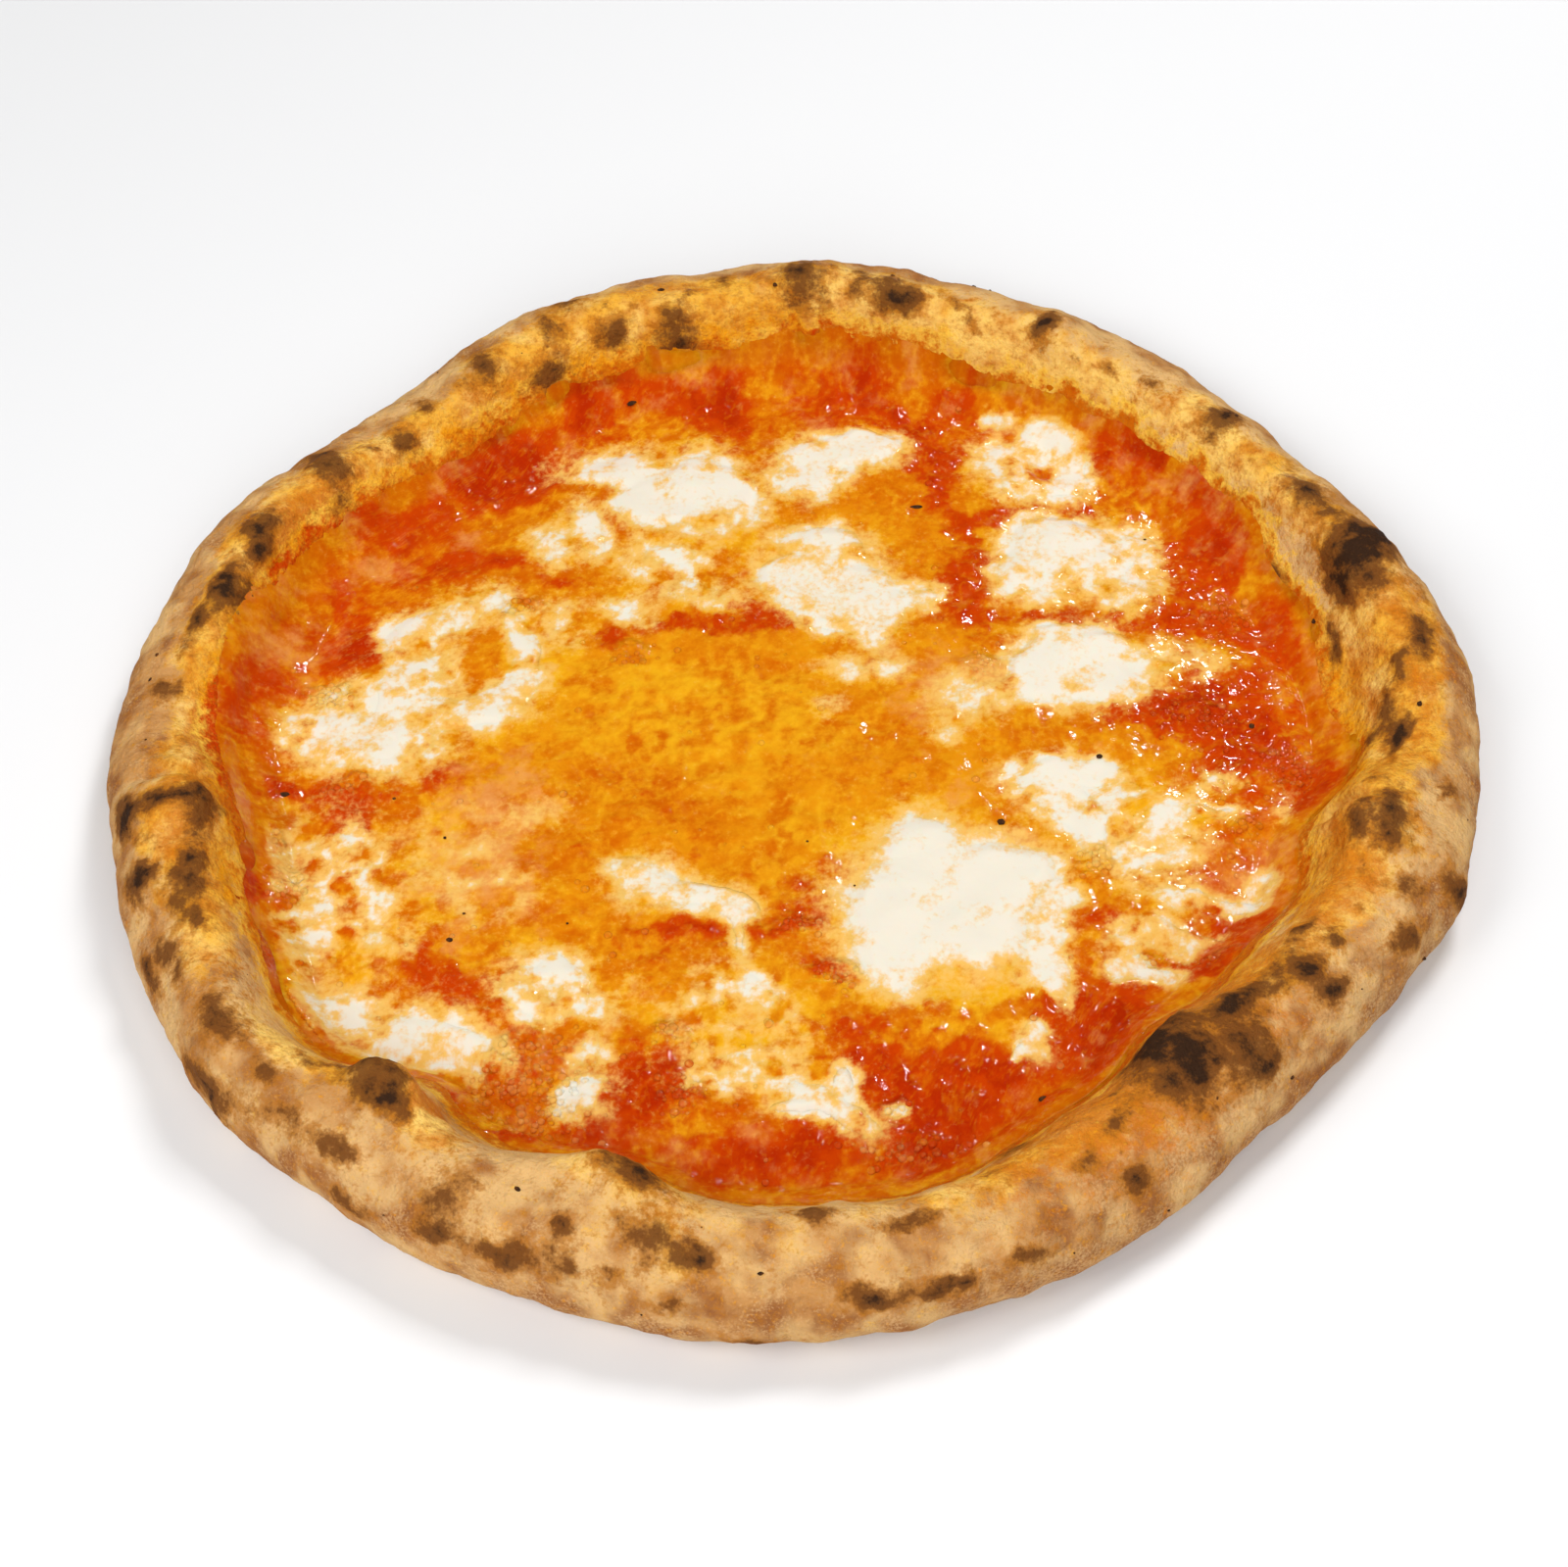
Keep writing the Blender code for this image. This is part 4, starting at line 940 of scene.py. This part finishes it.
def make_froth(bed, material):
    """Bubbles of foam and beads of oil that glitter in the sauce, joined into one piece."""
    draw = np.random.default_rng(FROTH_SEED)
    places = []
    for x, y, half_x, half_y in FROTH:
        count = int(1.1 * half_x * half_y)
        places.append(draw.normal((x, y), (half_x * 0.55, half_y * 0.55), (count, 2)))
    places.append(draw.uniform(-118, 118, (260, 2)))
    places = np.concatenate(places) * MM
    inside = np.hypot(places[:, 0], places[:, 1]) < sauce_edge(np.arctan2(places[:, 1], places[:, 0])) * 0.97
    x, y = places[inside].T
    fields = topping_fields(x, y)
    clear = (fields["white"] < 0.45) | (fields["froth"] > 0.4)
    x, y = x[clear], y[clear]
    fields = {key: values[clear] for key, values in fields.items()}
    fields["peach"] = np.clip(fields["peach"] + 0.25, 0, 1.5)
    size = draw.uniform(0.4, 1.0, len(x)) ** 1.5 * 1.1 * MM
    height = bed.heights(x, y, fields) - 0.1 * size
    ball, triangles = unit_ball(2)
    points = ball[None] * size[:, None, None] * (1, 1, 0.55) + np.stack([x, y, height], axis=1)[:, None]
    faces = triangles[None] + (np.arange(len(x)) * len(ball))[:, None, None]
    froth = add_piece("froth", points.reshape(-1, 3), faces.reshape(-1, 3).tolist(), material)
    store_toppings(froth, {key: np.repeat(values, len(ball)) for key, values in fields.items()})
    return froth


# Burnt flakes in the toppings: x, y, half length, half width in mm, turn in degrees
FLAKES = (
    (-37, 117, 1.6, 1.1, 20), (33, 76, 2.2, .7, 0), (70, -7, .9, .8, 0), (106, 1, 1.2, .9, 30), (49, -99, 1.3, .9, 20),
    (-86, -79, .8, .6, 0), (-118, -6, 2.4, .9, 5), (-78, -51, 1.0, .8, 0), (46, -25, 1.1, 1.1, 0),
    (-80, -22, .5, .5, 0), (-75, -44, .5, .4, 0), (124, 28, 1.4, .7, 60), (-92, -10, .5, .5, 0),
    (18, -44, .4, .4, 0), (23, -50, .45, .45, 0), (24, -59, .35, .35, 0), (24, -62, .35, .35, 0), (12, -41, .35, .35, 0),
    (64, -23, .4, .4, 0), (36, -52, .3, .3, 0), (-52, -48, .4, .4, 0), (2, -28, .4, .4, 0), (88, 62, .5, .4, 0),
)


def lump(middle, sizes, turn, draw):
    """One rough flake: a small ball pressed flat and dented."""
    ball, triangles = unit_ball(2)
    dents = 1 + 0.28 * GRAIN(ball * 1.0 + draw.uniform(0, 50, 3), 0.8)
    spin = Matrix.Rotation(math.radians(turn), 3, "Z")
    return (ball * dents[:, None] * sizes) @ np.array(spin).T + middle, triangles


def make_crumbs(bed, crust_tree, material):
    """Burnt flakes on the toppings and black crumbs that cling to the outside of the rim."""
    draw = np.random.default_rng(CRUMB_SEED)
    x, y = np.array([flake[:2] for flake in FLAKES]).T * MM
    heights = bed.heights(x, y, topping_fields(x, y))
    shapes = []
    for (_, _, length, width, turn), px, py, pz in zip(FLAKES, x, y, heights):
        sizes = np.array([length, width, min(length, width) * 0.4]) * 0.8 * MM
        shapes.append(lump((px, py, pz + 0.05 * MM), sizes, turn, draw))
    for _ in range(45):
        direction, turn = draw.uniform(0, 2 * np.pi), math.radians(draw.uniform(-5, 100))
        outwards = Vector((math.cos(turn) * math.cos(direction), math.cos(turn) * math.sin(direction), math.sin(turn)))
        start = Vector((0.138 * math.cos(direction), 0.138 * math.sin(direction), TUBE_HEIGHT)) + outwards * 0.05
        hit, normal = crust_tree.ray_cast(start, -outwards)[:2]
        if hit is None:
            continue
        size = draw.uniform(0.25, 0.75) ** 1.5
        sizes = np.array([size * draw.uniform(1, 1.8), size, size * 0.7]) * MM
        shapes.append(lump(np.array(hit + normal * 0.1 * MM), sizes, draw.uniform(0, 180), draw))
    points, faces, count = [], [], 0
    for shape, triangles in shapes:
        points.append(shape)
        faces += (triangles + count).tolist()
        count += len(shape)
    return add_piece("burnt_crumbs", np.concatenate(points), faces, material)


# ---------------------------------------------------------------- stage

def make_floor():
    """A wide, plain pale floor."""
    half, steps = 4.0, 8
    line = np.linspace(-half, half, steps + 1)
    corners = [(x, y, 0.0) for y in line.tolist() for x in line.tolist()]
    faces = [(r * (steps + 1) + c, r * (steps + 1) + c + 1, (r + 1) * (steps + 1) + c + 1, (r + 1) * (steps + 1) + c)
             for r in range(steps) for c in range(steps)]
    mesh = bpy.data.meshes.new("floor")
    mesh.from_pydata(corners, [], faces)
    graph = Graph("pale_floor")
    mesh.materials.append(graph.finish((0.84, 0.84, 0.845, 1.0), 0.8, None, 0.2, 0.0, (1 * MM, 1 * MM, 1 * MM)))
    floor = bpy.data.objects.new("floor", mesh)
    bpy.context.scene.collection.objects.link(floor)


def add_softbox(name, place, size, power, glitters=False):
    """A square light that faces the pizza: a soft one that only lights it, or one that only glitters on wet places."""
    light = bpy.data.lights.new(name, "AREA")
    light.shape = "SQUARE"
    light.size = size
    light.energy = power
    lamp = bpy.data.objects.new(name, light)
    lamp.location = place
    lamp.visible_glossy = glitters
    lamp.visible_diffuse = not glitters
    lamp.rotation_mode = "QUATERNION"
    lamp.rotation_quaternion = (-Vector(place)).to_track_quat("-Z", "Y")
    bpy.context.scene.collection.objects.link(lamp)


def make_lights():
    """Plain soft studio light: boxes from the back right, the left and the front, and a small one that glitters."""
    add_softbox("key", (0.42, 0.50, 0.98), 0.34, 7.7)
    add_softbox("left", (-0.76, -0.40, 0.92), 0.6, 6.6)
    add_softbox("front", (0.05, -1.1, 0.90), 1.1, 12.6)
    add_softbox("sparkle", (0.42, 0.80, 0.86), 0.08, 2.2, True)
    world = bpy.data.worlds.new("studio")
    bpy.context.scene.world = world
    world.use_nodes = True
    background = world.node_tree.nodes["Background"]
    background.inputs["Color"].default_value = (1.0, 1.0, 1.0, 1.0)
    background.inputs["Strength"].default_value = 0.13
    world.cycles_visibility.glossy = False


CAMERA_ELEVATION = 50.327
CAMERA_DISTANCE = 724.16 * MM
CAMERA_ROLL = -2.647
CAMERA_TARGET = Vector((-2.648, -7.919, 1.5)) * MM
FIELD_OF_VIEW = 28.0


def make_camera():
    """The camera in front of the pizza, looking down on it."""
    camera = bpy.data.cameras.new("camera")
    camera.sensor_width = 36.0
    camera.lens = 18.0 / math.tan(math.radians(FIELD_OF_VIEW / 2))
    camera.dof.use_dof = False
    camera.clip_start = 0.01
    holder = bpy.data.objects.new("camera", camera)
    bpy.context.scene.collection.objects.link(holder)
    elevation, roll = math.radians(CAMERA_ELEVATION), math.radians(CAMERA_ROLL)
    back = Vector((0, -math.cos(elevation), math.sin(elevation)))
    right = Vector((1, 0, 0))
    up = back.cross(right)
    rolled_right = right * math.cos(roll) + up * math.sin(roll)
    rolled_up = up * math.cos(roll) - right * math.sin(roll)
    rotation = Matrix((rolled_right, rolled_up, back)).transposed().to_4x4()
    holder.matrix_world = Matrix.Translation(CAMERA_TARGET + back * CAMERA_DISTANCE) @ rotation
    bpy.context.scene.camera = holder


def main():
    make_camera()
    make_lights()
    make_floor()
    toppings = topping_material("sauce_and_mozzarella", 0.28)
    crust_piece, points, faces = make_crust(crust_material("baked_crust"))
    bed = Bed(points, faces)
    make_sauce(bed, toppings)
    for name, (thickness, _, _, strokes) in MOZZARELLA.items():
        make_mozzarella(name, thickness, strokes, bed, toppings)
    make_froth(bed, topping_material("froth", 0.35, False))
    make_crumbs(bed, bed.tree, crumb_material("burnt"))
    bpy.context.scene.view_settings.view_transform = "Standard"


main()
